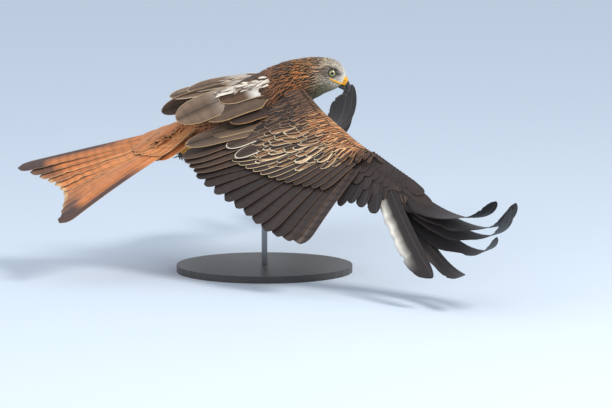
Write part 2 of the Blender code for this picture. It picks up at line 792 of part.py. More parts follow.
def placed_vane(name, root, tip, upward, side, half_width, lean, arch, finish):
    """A vane from a root to a tip that arches between them and leans outwards from an upward direction."""
    length = (tip - root).length
    along = (tip - root) / length
    above = (upward - along * upward.dot(along)).normalized()
    outward = along.cross(above) * side
    turn = math.radians(lean)
    face = above * math.cos(turn) + outward * math.sin(turn)
    front = outward * math.cos(turn) - above * math.sin(turn)
    stations = vane_stations(root, (along, front, face), length, SHORT_STOPS, (arch, -arch), 0.0, (0.0, 0.0))
    return vane(name, stations, SHORT_STOPS, vane_profile(half_width, half_width, round_from=0.66), finish)


def scapulars(finish):
    made = []
    for i, (sides, root, tip, half_width, lean, arch) in enumerate(SCAPULARS):
        for side in sides:
            flip = Vector((1.0, side, 1.0))
            name = f"scapular_{i}_{side:+.0f}"
            ends = (Vector(root) * flip, Vector(tip) * flip)
            made.append(placed_vane(name, *ends, UPWARD * flip, side, half_width, lean, arch, finish))
    return made


def inner_coverts(finish):
    made = []
    for i, (root, tip, half_width) in enumerate(INNER_COVERTS):
        ends = (wing_point(*root), wing_point(*tip))
        name = f"inner_covert_{i}"
        made.append(placed_vane(name, *ends, UPWARD, 1.0, half_width, INNER_COVERT_LEAN, 8.0, finish))
    return made


def head_solids(grey, yellow, black, iris):
    """Head with lids, brows and the line of the mouth, its eyes, cere with lips and nostrils, and bill."""
    axes = head_axes()
    head = body_length("head", 0.0, HEAD_END, 8, grey)
    cere = bill_solid("cere", CERE_RINGS, yellow)
    bill_solid("bill_upper", UPPER_BILL_RINGS, black)
    lower = bill_solid("bill_lower", LOWER_BILL_RINGS, black)
    sockets, added, grooves, lips, nostrils, eyes = [], [], [], [], [], []
    for side, word in ((1.0, "left"), (-1.0, "right")):
        flip = Vector((1.0, side, 1.0))
        eye_at = head_point(*(Vector(EYE_AT) * flip))
        eyes.append(ball("eye_" + word, eye_at, (EYE_RADIUS,) * 3, iris, axes, 8, 14))
        sockets.append(ball("socket", head_point(*(Vector(SOCKET_AT) * flip)), SOCKET_RADII, grey, axes, 6, 12))
        lid_at = eye_at + axes.col[1] * side * LID_OUTWARD
        added.append(hoop("lid", lid_at, axes, LID_RADIUS, LID_THICKNESS, grey, 14, 5))
        brow = [on_head(head, x, z, side, 0.0006) for x, z in BROW_PLACES]
        added.append(tube("brow", brow, BROW_RADII, grey, 6))
        line = [on_head(head, x, MOUTH_LINE_Z, side, 0.0) for x in (0.0230, 0.0160, 0.0090, 0.0020)]
        grooves.append(tube("mouth_line", line, (MOUTH_LINE_RADIUS,) * 4, grey, 5))
        lip = [head_point(*(Vector(LIP_FRONT) * flip))]
        lip += [on_head(head, x, z, side, 0.0004) for x, z in LIP_PLACES]
        lips.append(tube("lip", lip, LIP_RADII, yellow, 6))
        nostrils.append(ball("nostril", head_point(*(NOSTRIL_AT * flip)), NOSTRIL_RADII, black, axes, 6, 8))
    room = [grown(solid) for solid in eyes + lips + [cere, lower]]
    combine(cere, lips, "UNION")
    combine(cere, nostrils, "DIFFERENCE")
    combine(head, sockets, "DIFFERENCE")
    combine(head, added, "UNION")
    combine(head, grooves + room, "DIFFERENCE")
    keep_largest(head)
    keep_largest(cere)


def leg_solids(torso, brown, yellow, black):
    """The left thigh, its closed foot and four claws, and their mirror images."""
    thigh = ball("leg_left", THIGH_AT, THIGH_RADII, brown, Matrix.Rotation(math.radians(20.0), 3, "Y"), 8, 12)
    foot = tube("foot_left", [ANKLE, FOOT], (SHANK_RADIUS,) * 2, yellow)
    toes = [ball("palm", FOOT, (0.0085, 0.0075, 0.0065), yellow, None, 6, 8)]
    claws = []
    for i, (sideways, knuckle, end, curl) in enumerate(TOES):
        joint = FOOT + Vector((knuckle[0], sideways, knuckle[1]))
        tip = FOOT + Vector((end[0], sideways * 1.25, end[1]))
        toes.append(tube("toe", [FOOT, joint, tip], (0.0038, 0.0035, 0.0028), yellow, 6))
        ahead = (tip - joint).normalized()
        bend = Vector((curl[0], 0.0, curl[1]))
        points = [tip - ahead * 0.0010, tip + ahead * 0.0060 + bend * 0.3, tip + ahead * 0.0090 + bend]
        claws.append(tube(f"claw_left_{i + 1}", points, (0.0025, 0.0019, 0.0005), black, 6))
    combine(foot, toes, "UNION")
    combine(foot, [grown(thigh)], "DIFFERENCE")
    combine(thigh, [grown(torso)], "DIFFERENCE")
    for claw in claws:
        combine(claw, [grown(foot)], "DIFFERENCE")
    left = [thigh, foot] + claws
    right = [mirrored(keep_largest(solid), solid.name.replace("left", "right")) for solid in left]
    return left + right


def build():
    for item in list(bpy.data.objects):
        bpy.data.objects.remove(item, do_unlink=True)
    rufous = material("rufous_feather", (0.46, 0.19, 0.07), 0.8)
    brown = material("brown_feather", (0.06, 0.045, 0.04), 0.75)
    grey = material("head_feather", (0.50, 0.46, 0.40), 0.8)
    yellow = material("yellow_skin", (0.85, 0.50, 0.05), 0.45)
    black = material("black_horn", (0.02, 0.02, 0.02), 0.3)
    iris = material("eye", (0.55, 0.50, 0.20), 0.1)
    steel = material("stand_steel", (0.55, 0.56, 0.58), 0.35, 1.0)
    board = material("stand_board", (0.05, 0.05, 0.05), 0.5)

    head_solids(grey, yellow, black, iris)
    neck = body_length("neck", NECK_START, NECK_END, 5, rufous)
    torso = body_length("torso", TORSO_START, TORSO_END, 11, rufous)
    legs = leg_solids(torso, rufous, yellow, black)
    combine(torso, scapulars(rufous), "UNION")
    keep_largest(torso)
    tail = tail_solid(rufous)
    combine(tail, [grown(solid) for solid in [torso] + legs], "DIFFERENCE")
    keep_largest(tail)

    arm = wing_flesh("wing_left_arm", ARM_SECTIONS, 8, brown)
    combine(arm, secondaries(brown) + arm_coverts(brown) + tertials(brown) + inner_coverts(brown), "UNION")
    combine(arm, [wrist_cutter(False, brown)], "DIFFERENCE")
    hand = hand_solid("wing_left_hand", True, brown)
    unmirrored = hand_solid("unmirrored_hand", False, brown)
    right_arm = mirrored(arm, "wing_right_arm")
    mirrored(unmirrored, "wing_right_hand")
    bpy.data.objects.remove(unmirrored, do_unlink=True)
    raise_wing(arm)
    raise_wing(hand)
    for solid in (arm, right_arm):
        combine(solid, [grown(other) for other in [torso, neck, tail] + legs], "DIFFERENCE")
        keep_largest(solid)

    upright_cylinder("stand_base", BASE_RADIUS, 0.0, BASE_HEIGHT, 36, board)
    rod = upright_cylinder("stand_rod", ROD_RADIUS, BASE_HEIGHT + GAP, BIRD_AT.z, 12, steel)
    combine(rod, [grown(torso)], "DIFFERENCE")
    keep_largest(rod)


build()
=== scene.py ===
# %% [markdown]
# # A red kite in flight
# The object is a life-size still model of a red kite on a display stand. Its solids come from the packed
# model, and this lesson dresses them: one skin, thousands of feathers, bill, eyes, feet and the stand.
# We load the solids first. Nothing here may grow past it.

import math

import bmesh
import bpy
import numpy as np
from mathutils import Matrix, Vector
from mathutils.kdtree import KDTree


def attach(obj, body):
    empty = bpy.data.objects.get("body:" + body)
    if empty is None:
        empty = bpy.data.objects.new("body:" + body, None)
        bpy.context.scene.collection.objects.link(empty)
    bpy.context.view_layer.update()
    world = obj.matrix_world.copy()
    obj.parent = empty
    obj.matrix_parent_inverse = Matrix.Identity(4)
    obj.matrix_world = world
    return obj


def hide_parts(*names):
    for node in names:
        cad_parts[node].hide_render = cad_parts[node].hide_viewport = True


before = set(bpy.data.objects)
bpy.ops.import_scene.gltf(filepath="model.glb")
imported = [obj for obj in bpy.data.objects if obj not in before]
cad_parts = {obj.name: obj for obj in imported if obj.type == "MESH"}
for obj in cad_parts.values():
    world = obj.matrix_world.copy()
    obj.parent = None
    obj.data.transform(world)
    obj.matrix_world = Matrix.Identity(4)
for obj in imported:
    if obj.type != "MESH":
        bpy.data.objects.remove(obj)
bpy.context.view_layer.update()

# %% [markdown]
# ## Numbers shared with the solids
# A skin that fits its solids has to follow the same curves. The trunk, neck and head are rings in the
# plane of symmetry. We repeat the rings and carry them on a little way over the root of the tail.

# %% Rings of the trunk
BIRD_AT = np.array((0.062, 0.0, 0.292))
# Each ring: top x, top z, bottom x, bottom z, half width.
BODY_RINGS = np.array((
    (0.0790, 0.0400, 0.0690, 0.0230, 0.0070),
    (0.0775, 0.0500, 0.0590, 0.0175, 0.0125),
    (0.0720, 0.0610, 0.0440, 0.0110, 0.0190),
    (0.0610, 0.0695, 0.0290, 0.0030, 0.0235),
    (0.0450, 0.0745, 0.0150, -0.0040, 0.0262),
    (0.0210, 0.0755, 0.0010, -0.0120, 0.0300),
    (-0.0050, 0.0730, -0.0140, -0.0210, 0.0360),
    (-0.0320, 0.0680, -0.0320, -0.0320, 0.0440),
    (-0.0640, 0.0560, -0.0520, -0.0430, 0.0510),
    (-0.0950, 0.0420, -0.0790, -0.0520, 0.0540),
    (-0.1280, 0.0250, -0.1110, -0.0570, 0.0500),
    (-0.1590, 0.0070, -0.1440, -0.0560, 0.0410),
    (-0.1850, -0.0080, -0.1720, -0.0560, 0.0300),
    (-0.2030, -0.0200, -0.1950, -0.0540, 0.0210),
    (-0.2258, -0.0462, -0.2150, -0.0698, 0.0240),
    (-0.2480, -0.0590, -0.2400, -0.0775, 0.0300),
    (-0.2700, -0.0715, -0.2640, -0.0855, 0.0360),
))
LAST_RING = len(BODY_RINGS) - 1.0
HEAD_YAW = -12.0
TURN_FROM_X = -0.030
TURN_TO_X = 0.035
TURN_AXIS_X = 0.005
TAIL_ROOT = np.array((-0.175, 0.0, -0.037))
TAIL_PITCH = 24.8
TAIL_TWIST = -19.0
TWIST_FROM_RING = 12.0
TWIST_OVER_RINGS = 2.5

# %% [markdown]
# ## Small tools for curves
# Feathers come in thousands, so the sums run on whole arrays of places at once. `along_rows` draws a
# smooth curve through the rows of a table, and `body_at` gives the point of the trunk's surface for a
# place along it and an angle round it. The head part is turned to the bird's right, as in its pose.

# %% Curves on arrays
def unit(v):
    return v / np.maximum(np.linalg.norm(v, axis=-1, keepdims=True), 1e-12)


def eased(t):
    t = np.clip(t, 0.0, 1.0)
    return t * t * (3.0 - 2.0 * t)


def along_rows(rows, u):
    """Rows of a table at places u, on a smooth curve through them."""
    u = np.asarray(u, float)
    last = len(rows) - 1
    i = np.clip(np.floor(u).astype(int), 0, last - 1)
    t = (u - i)[..., None]
    p, q, r, s = (rows[np.clip(i + k, 0, last)] for k in (-1, 0, 1, 2))
    return q + 0.5 * t * (r - p + t * (2.0 * p - 5.0 * q + 4.0 * r - s + t * (3.0 * (q - r) + s - p)))


def turned(p):
    """Points of the head and neck, turned to the bird's right."""
    angle = math.radians(HEAD_YAW) * eased((p[..., 0] - TURN_FROM_X) / (TURN_TO_X - TURN_FROM_X))
    x = p[..., 0] - TURN_AXIS_X
    c, s = np.cos(angle), np.sin(angle)
    return np.stack((c * x - s * p[..., 1] + TURN_AXIS_X, s * x + c * p[..., 1], p[..., 2]), axis=-1)


def body_at(u, angle):
    """Points of the trunk. u counts rings from the bill, the angle runs from the back to the left."""
    u, angle = np.broadcast_arrays(np.clip(u, 0.0, LAST_RING), angle)
    top_x, top_z, low_x, low_z, width = np.moveaxis(along_rows(BODY_RINGS, u), -1, 0)
    roll = math.radians(TAIL_TWIST) * eased((u - TWIST_FROM_RING) / TWIST_OVER_RINGS)
    out = np.sin(angle) * width
    x = (low_x + top_x) / 2 + (top_x - low_x) / 2 * np.cos(angle)
    z = (low_z + top_z) / 2 + (top_z - low_z) / 2 * np.cos(angle) + out * np.sin(roll)
    return BIRD_AT + turned(np.stack((x, out * np.cos(roll), z), axis=-1))


def slopes(surface, p, q):
    """How a surface's points move with each of its two numbers."""
    step = 1e-4
    return (
        (surface(p + step, q) - surface(p - step, q)) / (2 * step),
        (surface(p, q + step) - surface(p, q - step)) / (2 * step),
    )


spine = body_at(np.linspace(0, 13, 80), 0.0)
print("length of the trunk's back:", np.linalg.norm(np.diff(spine, axis=0), axis=1).sum().round(3))

# %% [markdown]
# ## The wing's plane
# A kite's wing droops from the shoulder and its front edge is pitched up. All feathers of the wing are
# laid out in one flat plan, forward and outward, which then sags. The left wing is raised a little and
# the right wing is its mirror image.

# %% Wing plane and flesh
SHOULDER = np.array((-0.009, 0.045, 0.005))
WING_DROOP = math.radians(27.0)
WING_PITCH = math.radians(26.9)
WING_SAG = 0.23
LEFT_WING_RAISED = math.radians(3.4)
ELBOW = (-0.032, 0.118)
WRIST = (0.081, 0.208)
HAND_TIP = (0.122, 0.314)
OUTWARD = np.array((0.0, math.cos(WING_DROOP), -math.sin(WING_DROOP)))
LIFTED = np.array((0.0, math.sin(WING_DROOP), math.cos(WING_DROOP)))
FORWARD = math.cos(WING_PITCH) * np.array((1.0, 0.0, 0.0)) + math.sin(WING_PITCH) * LIFTED
UPWARD = np.cross(FORWARD, OUTWARD)
# Flesh of the wing: outward place, front edge, rear edge, thickness.
WING_SECTIONS = np.array((
    (-0.022, 0.012, -0.070, 0.036),
    (0.012, 0.020, -0.072, 0.033),
    (0.060, 0.031, -0.066, 0.027),
    (0.110, 0.047, -0.056, 0.023),
    (0.160, 0.064, -0.014, 0.019),
    (0.208, 0.083, 0.034, 0.016),
    (0.250, 0.099, 0.058, 0.013),
    (0.290, 0.114, 0.080, 0.010),
    (0.322, 0.124, 0.102, 0.006),
))
# Section of the flesh: share of the way back, and height as a share of the thickness.
FOIL = np.array((
    (0.0, 0.0), (0.05, 0.30), (0.18, 0.48), (0.40, 0.50), (0.70, 0.32), (1.0, 0.09), (1.6, 0.06),
))
FOIL_UNDER = -0.75
UNDER_LOWERED = 0.0015


def wing_plan(forward, outward, up=0.0):
    """Points of the left wing before it is raised."""
    forward, outward, up = (np.asarray(v, float)[..., None] for v in (forward, outward, up))
    return BIRD_AT + SHOULDER + forward * FORWARD + outward * OUTWARD + (up - WING_SAG * outward**2) * UPWARD


def wing_section(outward):
    """Front edge, rear edge and thickness of the flesh at outward places."""
    return [np.interp(outward, WING_SECTIONS[:, 0], WING_SECTIONS[:, k]) for k in (1, 2, 3)]


def wing_height(forward, outward):
    """Height of the flesh above the wing's plane."""
    front, rear, thick = wing_section(outward)
    return np.interp((front - forward) / (front - rear), *FOIL.T) * thick


def wing_top(forward, outward):
    return wing_plan(forward, outward, wing_height(forward, outward))


def wing_under(forward, outward):
    return wing_plan(forward, outward, wing_height(forward, outward) * FOIL_UNDER - UNDER_LOWERED)


def posed_wing(points, side):
    """Points of the left wing's plan, raised on the left or mirrored to the right."""
    if side < 0:
        return points * np.array((1.0, -1.0, 1.0))
    pivot = BIRD_AT + SHOULDER
    c, s = math.cos(LEFT_WING_RAISED), math.sin(LEFT_WING_RAISED)
    return (points - pivot) @ np.array(((1, 0, 0), (0, c, -s), (0, s, c))).T + pivot


print("wrist of the right wing:", posed_wing(wing_plan(*WRIST), -1).round(3))

# %% [markdown]
# ## Colours
# Colours are written as the eye reads them on a screen, from 0 to 255, and turned into the linear
# values that a renderer works with. `blended` mixes them smoothly between named places.

# %% Colour helpers
def shade(*rgb):
    c = np.array(rgb, float) / 255.0
    return np.where(c <= 0.04045, c / 12.92, ((c + 0.055) / 1.055) ** 2.4)


def blended(places, colours, at):
    """Colours between stops, for an array of places."""
    table = np.array([shade(*c) for c in colours])
    return np.stack([np.interp(at, places, table[:, k]) for k in range(3)], axis=-1)


def mixed(a, b, share):
    share = np.asarray(share, float)[..., None]
    return a * (1.0 - share) + b * share


rng = np.random.default_rng(11)

# %% [markdown]
# ## One feather, many times
# A feather is a thin vane on a shaft. Each one here is a small closed plate: a grid of stations along
# the shaft and columns across it, once for the upper face and once for the lower, joined round the rim.
# Thousands of such plates are best made as one mesh from arrays. Every corner also carries numbers that
# the finish reads: how far along the shaft it is, how far across, how near the rim, and its colours.

# %% A coat of feathers
# Outlines of small feathers: place along the shaft, and width there as a share of the widest.
ROUND_TIP = (
    (0.0, 0.30), (0.22, 0.66), (0.45, 0.92), (0.65, 1.0),
    (0.80, 0.93), (0.90, 0.74), (0.96, 0.50), (1.0, 0.18),
)
POINTED =((0.0, 0.35), (0.20, 0.80), (0.40, 1.0), (0.60, 0.88), (0.80, 0.58), (0.93, 0.26), (1.0, 0.05))
SMALL_STOPS = np.array((0.0, 0.26, 0.52, 0.74, 0.90, 1.0))
SMALL_COLUMNS = np.array((-1.0, -0.52, 0.0, 0.52, 1.0))
TINY_STOPS = np.array((0.0, 0.35, 0.72, 1.0))
TINY_COLUMNS = np.array((-1.0, 0.0, 1.0))
# Side of a small feather's patch on the unwrap, as a share of the whole.
PATCH = 0.003


def per_feather(n, *values):
    """Columns of numbers for n feathers. Each value is one for all of them or one for each."""
    return np.stack([np.broadcast_to(v, n) for v in values], axis=-1)


def plate_faces(stations, columns):
    """Corner numbers of one closed plate's faces, and which of them are its two broad sides."""
    top = np.arange(stations * columns).reshape(stations, columns)
    low = top + stations * columns
    a, b, c, d = top[:-1, :-1], top[:-1, 1:], top[1:, 1:], top[1:, :-1]
    e, f, g, h = low[:-1, :-1], low[1:, :-1], low[1:, 1:], low[:-1, 1:]
    sides = [
        (top[1:, -1], top[:-1, -1], low[:-1, -1], low[1:, -1]),
        (top[:-1, 0], top[1:, 0], low[1:, 0], low[:-1, 0]),
        (top[0, 1:], top[0, :-1], low[0, :-1], low[0, 1:]),
        (top[-1, :-1], top[-1, 1:], low[-1, 1:], low[-1, :-1]),
    ]
    broad = [np.stack(q, axis=-1).reshape(-1, 4) for q in ((a, b, c, d), (e, f, g, h))]
    rim = [np.stack(q, axis=-1).reshape(-1, 4) for q in sides]
    faces = np.concatenate(broad + rim)
    smooth = np.arange(len(faces)) < len(broad[0]) * 2
    return faces, smooth


class Coat:
    """Feathers gathered for one piece."""

    def __init__(self, name):
        self.name = name
        self.batches = []
        self.roots = []
        self.tones = []

    def add(self, middle, above, thick, vane, colours, design, patch):
        """One batch: middle surface and upward directions (n, stations, columns, 3), thickness, numbers
        for the finish, three colours, a design, and a place on the unwrap for every corner."""
        n, s, c = middle.shape[:3]
        across = middle[:, s // 2, -1] - middle[:, s // 2, 0]
        along = middle[:, -1, c // 2] - middle[:, 0, c // 2]
        facing = (np.cross(across, along) * above[:, s // 2, c // 2]).sum(-1)
        given = [v if v.ndim == 4 else v[:, None, None] for v in (*colours, design)]
        spread = [np.broadcast_to(v, (n, s, c, 3)) for v in given]
        parts = [middle, above, vane, *spread, patch]
        thick = np.broadcast_to(thick, (n, s, c))
        if facing.mean() < 0:
            parts = [v[:, :, ::-1] for v in parts]
            thick = thick[:, :, ::-1]
        middle, above = parts[0], parts[1]
        half = above * (thick[..., None] / 2)
        corners = np.stack((middle + half, middle - half), axis=1)
        twice = [np.repeat(v[:, None], 2, axis=1).reshape(n * 2 * s * c, -1) for v in parts[2:]]
        faces, smooth = plate_faces(s, c)
        self.batches.append((corners.reshape(-1, 3), twice, faces, smooth, n))
        self.roots.append(middle[:, s // 2, c // 2])
        self.tones.append(spread[0][:, s // 2, c // 2])

    def piece(self, finish, slot):
        """The coat as one mesh object that rides on the root body."""
        corners = np.concatenate([b[0] for b in self.batches])
        numbers = [np.concatenate([b[1][k] for b in self.batches]) for k in range(6)]
        faces, smooth, start = [], [], 0
        for points, _, plate, broad, n in self.batches:
            each = len(points) // n
            offsets = start + np.arange(n)[:, None, None] * each
            faces.append((plate[None] + offsets).reshape(-1, 4))
            smooth.append(np.tile(broad, n))
            start += len(points)
        faces, smooth = np.concatenate(faces), np.concatenate(smooth)
        mesh = bpy.data.meshes.new(self.name)
        mesh.vertices.add(len(corners))
        mesh.vertices.foreach_set("co", corners.astype(np.float32).ravel())
        mesh.loops.add(faces.size)
        mesh.loops.foreach_set("vertex_index", faces.astype(np.int32).ravel())
        mesh.polygons.add(len(faces))
        mesh.polygons.foreach_set("loop_start", np.arange(0, faces.size, 4, dtype=np.int32))
        mesh.polygons.foreach_set("use_smooth", smooth)
        mesh.update(calc_edges=True)
        names = ("vane", "ground", "streak", "fringe", "design")
        for name, values in zip(names, numbers):
            layer = mesh.attributes.new(name, "FLOAT_VECTOR", "POINT")
            layer.data.foreach_set("vector", values.astype(np.float32).ravel())
        unwrap = mesh.uv_layers.new(name="OFBake")
        unwrap.data.foreach_set("uv", numbers[5][faces.ravel()][:, :2].astype(np.float32).ravel())
        mesh.materials.append(finish)
        made = bpy.data.objects.new(self.name, mesh)
        bpy.context.scene.collection.objects.link(made)
        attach(made, "root")
        feathers = sum(b[4] for b in self.batches)
        print(f"{self.name}: {feathers} feathers, {2 * len(faces)} triangles")
        return made


# %% [markdown]
# ## Feathers that follow a surface
# The small feathers lie on the body like tiles on a roof. Each vane is drawn on the surface itself, from
# its root along its own heading, and rises a little with every millimetre, so that the feathers in front
# always lie over those behind and none cuts through another.

# %% Lay feathers on a surface
# How much a vane bows down towards its rims, and how much it leans to one side.
VANE_BOW = 0.35
VANE_LEAN = 0.06


def lay(coat, surface, facing, roots, headings, length, half, lift, shape, colours, design, place,
        stops=SMALL_STOPS, columns=SMALL_COLUMNS, pose=None, thick=0.00035, keep=None):
    """Feathers on surface(p, q). roots and headings are in the surface's own two numbers, and facing says
    which way its outer side turns. length and half width are per feather, lift is the rise per metre."""
    p0, q0 = roots[:, 0], roots[:, 1]
    dp, dq = slopes(surface, p0, q0)
    above = unit(np.cross(dq, dp)) * facing
    ahead = unit(headings[:, :1] * dp + headings[:, 1:] * dq)
    side = np.cross(ahead, above)
    n = len(roots)
    x = length[:, None, None] * stops[None, :, None] * np.ones(len(columns))
    width = half[:, None] * np.interp(stops, *zip(*shape))[None]
    y = width[:, :, None] * columns[None, None]
    moved = x[..., None] * ahead[:, None, None] + y[..., None] * side[:, None, None]
    e, f, g = (dp * dp).sum(-1), (dp * dq).sum(-1), (dq * dq).sum(-1)
    a = (moved * dp[:, None, None]).sum(-1)
    b = (moved * dq[:, None, None]).sum(-1)
    det = (e * g - f * f)[:, None, None]
    p = p0[:, None, None] + (a * g[:, None, None] - b * f[:, None, None]) / det
    q = q0[:, None, None] + (b * e[:, None, None] - a * f[:, None, None]) / det
    base = surface(p, q)
    sp, sq = slopes(surface, p, q)
    out = unit(np.cross(sq, sp)) * facing
    crown = -VANE_BOW * np.abs(y) ** 2 / np.maximum(half, 1e-6)[:, None, None]
    lean = VANE_LEAN * y
    rise = (lift * rng.uniform(0.85, 1.15, n))[:, None, None] * x + crown + lean
    middle = base + out * rise[..., None]
    if pose is not None:
        middle = pose(middle)
        out = pose(base + out) - pose(base)
    rim = np.minimum(width[:, :, None] - np.abs(y), (length[:, None, None] - x) * 0.8)
    vane = np.stack((x, y, rim), axis=-1)
    u = place(roots)[:, None, None] + np.stack(
        np.broadcast_arrays((stops[:, None] - 0.5) * PATCH, columns[None] * PATCH / 2), axis=-1)[None]
    patch = np.concatenate((u, np.zeros_like(u[..., :1])), axis=-1)
    if keep is not None:
        chosen = keep(middle)
        middle, out, vane, patch = middle[chosen], out[chosen], vane[chosen], patch[chosen]
        colours, design = [c[chosen] for c in colours], design[chosen]
    thin = thick * np.interp(stops, (0.0, 1.0), (1.0, 0.6))[None, :, None]
    coat.add(middle, out, thin, vane, colours, design, patch)


# %% [markdown]
# ## Feathers of their own shape
# Flight and tail feathers don't lie on a surface: they stand out from their roots and bend in the air.
# Each shaft starts in one direction, climbs and sweeps along its length, and carries a vane that is
# narrower in front of the shaft than behind it. The outer primaries are notched, so that their tips
# stand apart like fingers.

# %% Bend free feathers
LONG_STOPS = np.concatenate((np.linspace(0.0, 0.70, 15), np.linspace(0.735, 1.0, 13)))
LONG_COLUMNS = np.array((-1.0, -0.82, -0.60, -0.38, -0.18, -0.05, 0.0, 0.10, 0.40, 0.75, 1.0))
SHAFT_STEPS = 24
# How late along the shaft a feather climbs and rolls: 1 is evenly, more is later.
CLIMB_POWER = 1.2
ROLL_POWER = 0.8
# Arch across a vane, and height and relative width of the shaft's ridge on it.
CAMBER = 0.06
SHAFT_RIDGE = 0.0008
RIDGE_WIDTH = 0.07


def free_vanes(root, axes, length, rise, sweep, roll, stops):
    """Shaft places, directions to the front edge and upward directions of feathers at each stop."""
    along, across, above = (v[:, None] for v in axes)
    rise, roll = np.asarray(rise, float), np.asarray(roll, float)

    def directions(t):
        climb = np.radians(rise[:, :1] + (rise[:, 1:] - rise[:, :1]) * t**CLIMB_POWER)[..., None]
        bend = np.radians(np.asarray(sweep, float)[:, None] * t)[..., None]
        level = along * np.cos(bend) + across * np.sin(bend)
        front = across * np.cos(bend) - along * np.sin(bend)
        return (
            level * np.cos(climb) + above * np.sin(climb),
            np.broadcast_to(front, np.broadcast_shapes(front.shape, climb.shape)),
            above * np.cos(climb) - level * np.sin(climb),
        )

    middles = (np.arange(SHAFT_STEPS) + 0.5) / SHAFT_STEPS
    steps = directions(middles)[0] * (length / SHAFT_STEPS)[:, None, None]
    places = np.concatenate((root[:, None], root[:, None] + np.cumsum(steps, axis=1)), axis=1)
    at = np.clip(stops * SHAFT_STEPS, 0.0, SHAFT_STEPS - 1e-9)
    i = at.astype(int)
    part = (at - i)[None, :, None]
    shaft = places[:, i] * (1.0 - part) + places[:, i + 1] * part
    _, front, up = directions(stops)
    tilt = np.radians(roll[:, :1] + (roll[:, 1:] - roll[:, :1]) * stops**ROLL_POWER)[..., None]
    return shaft, front * np.cos(tilt) + up * np.sin(tilt), up * np.cos(tilt) - front * np.sin(tilt)


def vane_widths(lead, trail, stops, root=0.35, round_from=0.72, finger_from=None, finger=(1.0, 1.0)):
    """Widths in front of and behind the shaft at each stop, one row a feather."""
    n = len(lead)
    round_from = np.broadcast_to(round_from, n)[:, None]
    share = root + (1.0 - root) * eased(stops / 0.22)[None]
    past = np.clip((stops - round_from) / (1.0 - round_from), 0.0, 1.0)
    share = share * np.maximum(0.10, np.sqrt(1.0 - past**2))
    ahead, behind = lead[:, None] * share, trail[:, None] * share
    if finger_from is not None:
        narrow = eased((stops - finger_from[:, None]) / 0.14)
        ahead = ahead * (1.0 + (finger[0] - 1.0) * narrow)
        behind = behind * (1.0 + (finger[1] - 1.0) * narrow)
    return ahead, behind


def islands(count, stations, columns):
    """A place on the unwrap for every corner of each long feather, side by side in rows."""
    across = int(math.ceil(math.sqrt(count * 3.0)))
    down = int(math.ceil(count / across))
    k = np.arange(count)
    x = (k % across)[:, None, None] + 0.1 + 0.8 * np.linspace(0, 1, columns)[None, None]
    y = (k // across)[:, None, None] + 0.05 + 0.9 * np.linspace(0, 1, stations)[None, :, None]
    x, y = np.broadcast_arrays(x / across, y / down)
    return np.stack((x, y, np.zeros_like(x)), axis=-1)


def hang(coat, stations, length, widths, colours, design, stops=LONG_STOPS, columns=LONG_COLUMNS,
         thick=(0.0009, 0.0004), ragged=0.0, pose=None):
    """Adds free feathers to a coat. ragged is how deep the splits in their rims are."""
    shaft, front, up = stations
    ahead, behind = widths
    n, s = ahead.shape
    tear = 1.0 - ragged * (rng.random((n, s)) ** 6) * (stops > 0.2)
    behind = behind * tear
    side = np.where(columns[None, None] > 0, ahead[..., None], behind[..., None])
    y = side * columns[None, None]
    arch = CAMBER * (np.abs(y) - y * y / np.maximum(side, 1e-6) * 1.5)
    ridge = SHAFT_RIDGE * (1.0 - stops)[None, :, None] * np.exp(-((columns / RIDGE_WIDTH) ** 2))[None, None]
    middle = shaft[:, :, None] + front[:, :, None] * y[..., None] + up[:, :, None] * arch[..., None]
    above = np.broadcast_to(up[:, :, None], middle.shape)
    if pose is not None:
        moved = pose(middle + above)
        middle = pose(middle)
        above = moved - middle
    x = np.broadcast_to(length[:, None, None] * stops[None, :, None], y.shape)
    rim = np.minimum(side - np.abs(y), (length[:, None, None] - x) * 0.9)
    vane = np.stack((x, y, rim), axis=-1)
    thin = np.interp(stops, (0.0, 1.0), thick)[None, :, None] * (1.0 - 0.5 * columns**2)[None, None] + ridge
    coat.add(middle, above, thin, vane, colours, design, islands(n, s, len(columns)))


def placed(coat, root, tip, upward, side, half, lean, arch, colours, design, round_from=0.66, ragged=0.04,
           stops=LONG_STOPS, columns=LONG_COLUMNS, pose=None):
    """Feathers from roots to tips that arch between them and lean outwards from an upward direction."""
    length = np.linalg.norm(tip - root, axis=-1)
    along = (tip - root) / length[:, None]
    above = unit(upward - along * (along @ upward)[:, None])
    outward = np.cross(along, above) * side
    turn = np.radians(lean)[:, None]
    face = above * np.cos(turn) + outward * np.sin(turn)
    front = outward * np.cos(turn) - above * np.sin(turn)
    n = len(root)
    rise = per_feather(n, arch, -arch)
    stations = free_vanes(root, (along, front, face), length, rise, np.zeros(n), np.zeros((n, 2)), stops)
    widths = vane_widths(half, half, stops, round_from=round_from)
    hang(coat, stations, length, widths, colours, design, stops, columns, ragged=ragged, pose=pose)


# %% [markdown]
# ## Shader maths
# A finish is a network of nodes. To read like ordinary sums, one small class wraps a node's output and
# gives it the operators + - * /. `Finish` keeps one material's nodes, and its `node` method adds any
# other node from its type, its settings and the values or links of its sockets.

# %% A class for shader maths
class Number:
    """A number that changes over a surface."""

    def __init__(self, finish, socket):
        self.finish = finish
        self.socket = socket

    def maths(self, operation, *others, first=None):
        inputs = [self if first is None else first, *others]
        made = self.finish.node("ShaderNodeMath", inputs, operation=operation)
        return Number(self.finish, made.outputs[0])

    def __add__(self, other):
        return self.maths("ADD", other)

    __radd__ = __add__

    def __sub__(self, other):
        return self.maths("SUBTRACT", other)

    def __rsub__(self, other):
        return self.maths("SUBTRACT", self, first=other)

    def __mul__(self, other):
        return self.maths("MULTIPLY", other)

    __rmul__ = __mul__

    def __truediv__(self, other):
        return self.maths("DIVIDE", other)

    def __abs__(self):
        return self.maths("ABSOLUTE")

    def clamped(self):
        return self.maths("MINIMUM", 1.0).maths("MAXIMUM", 0.0)

    def wave(self):
        return self.maths("SINE")


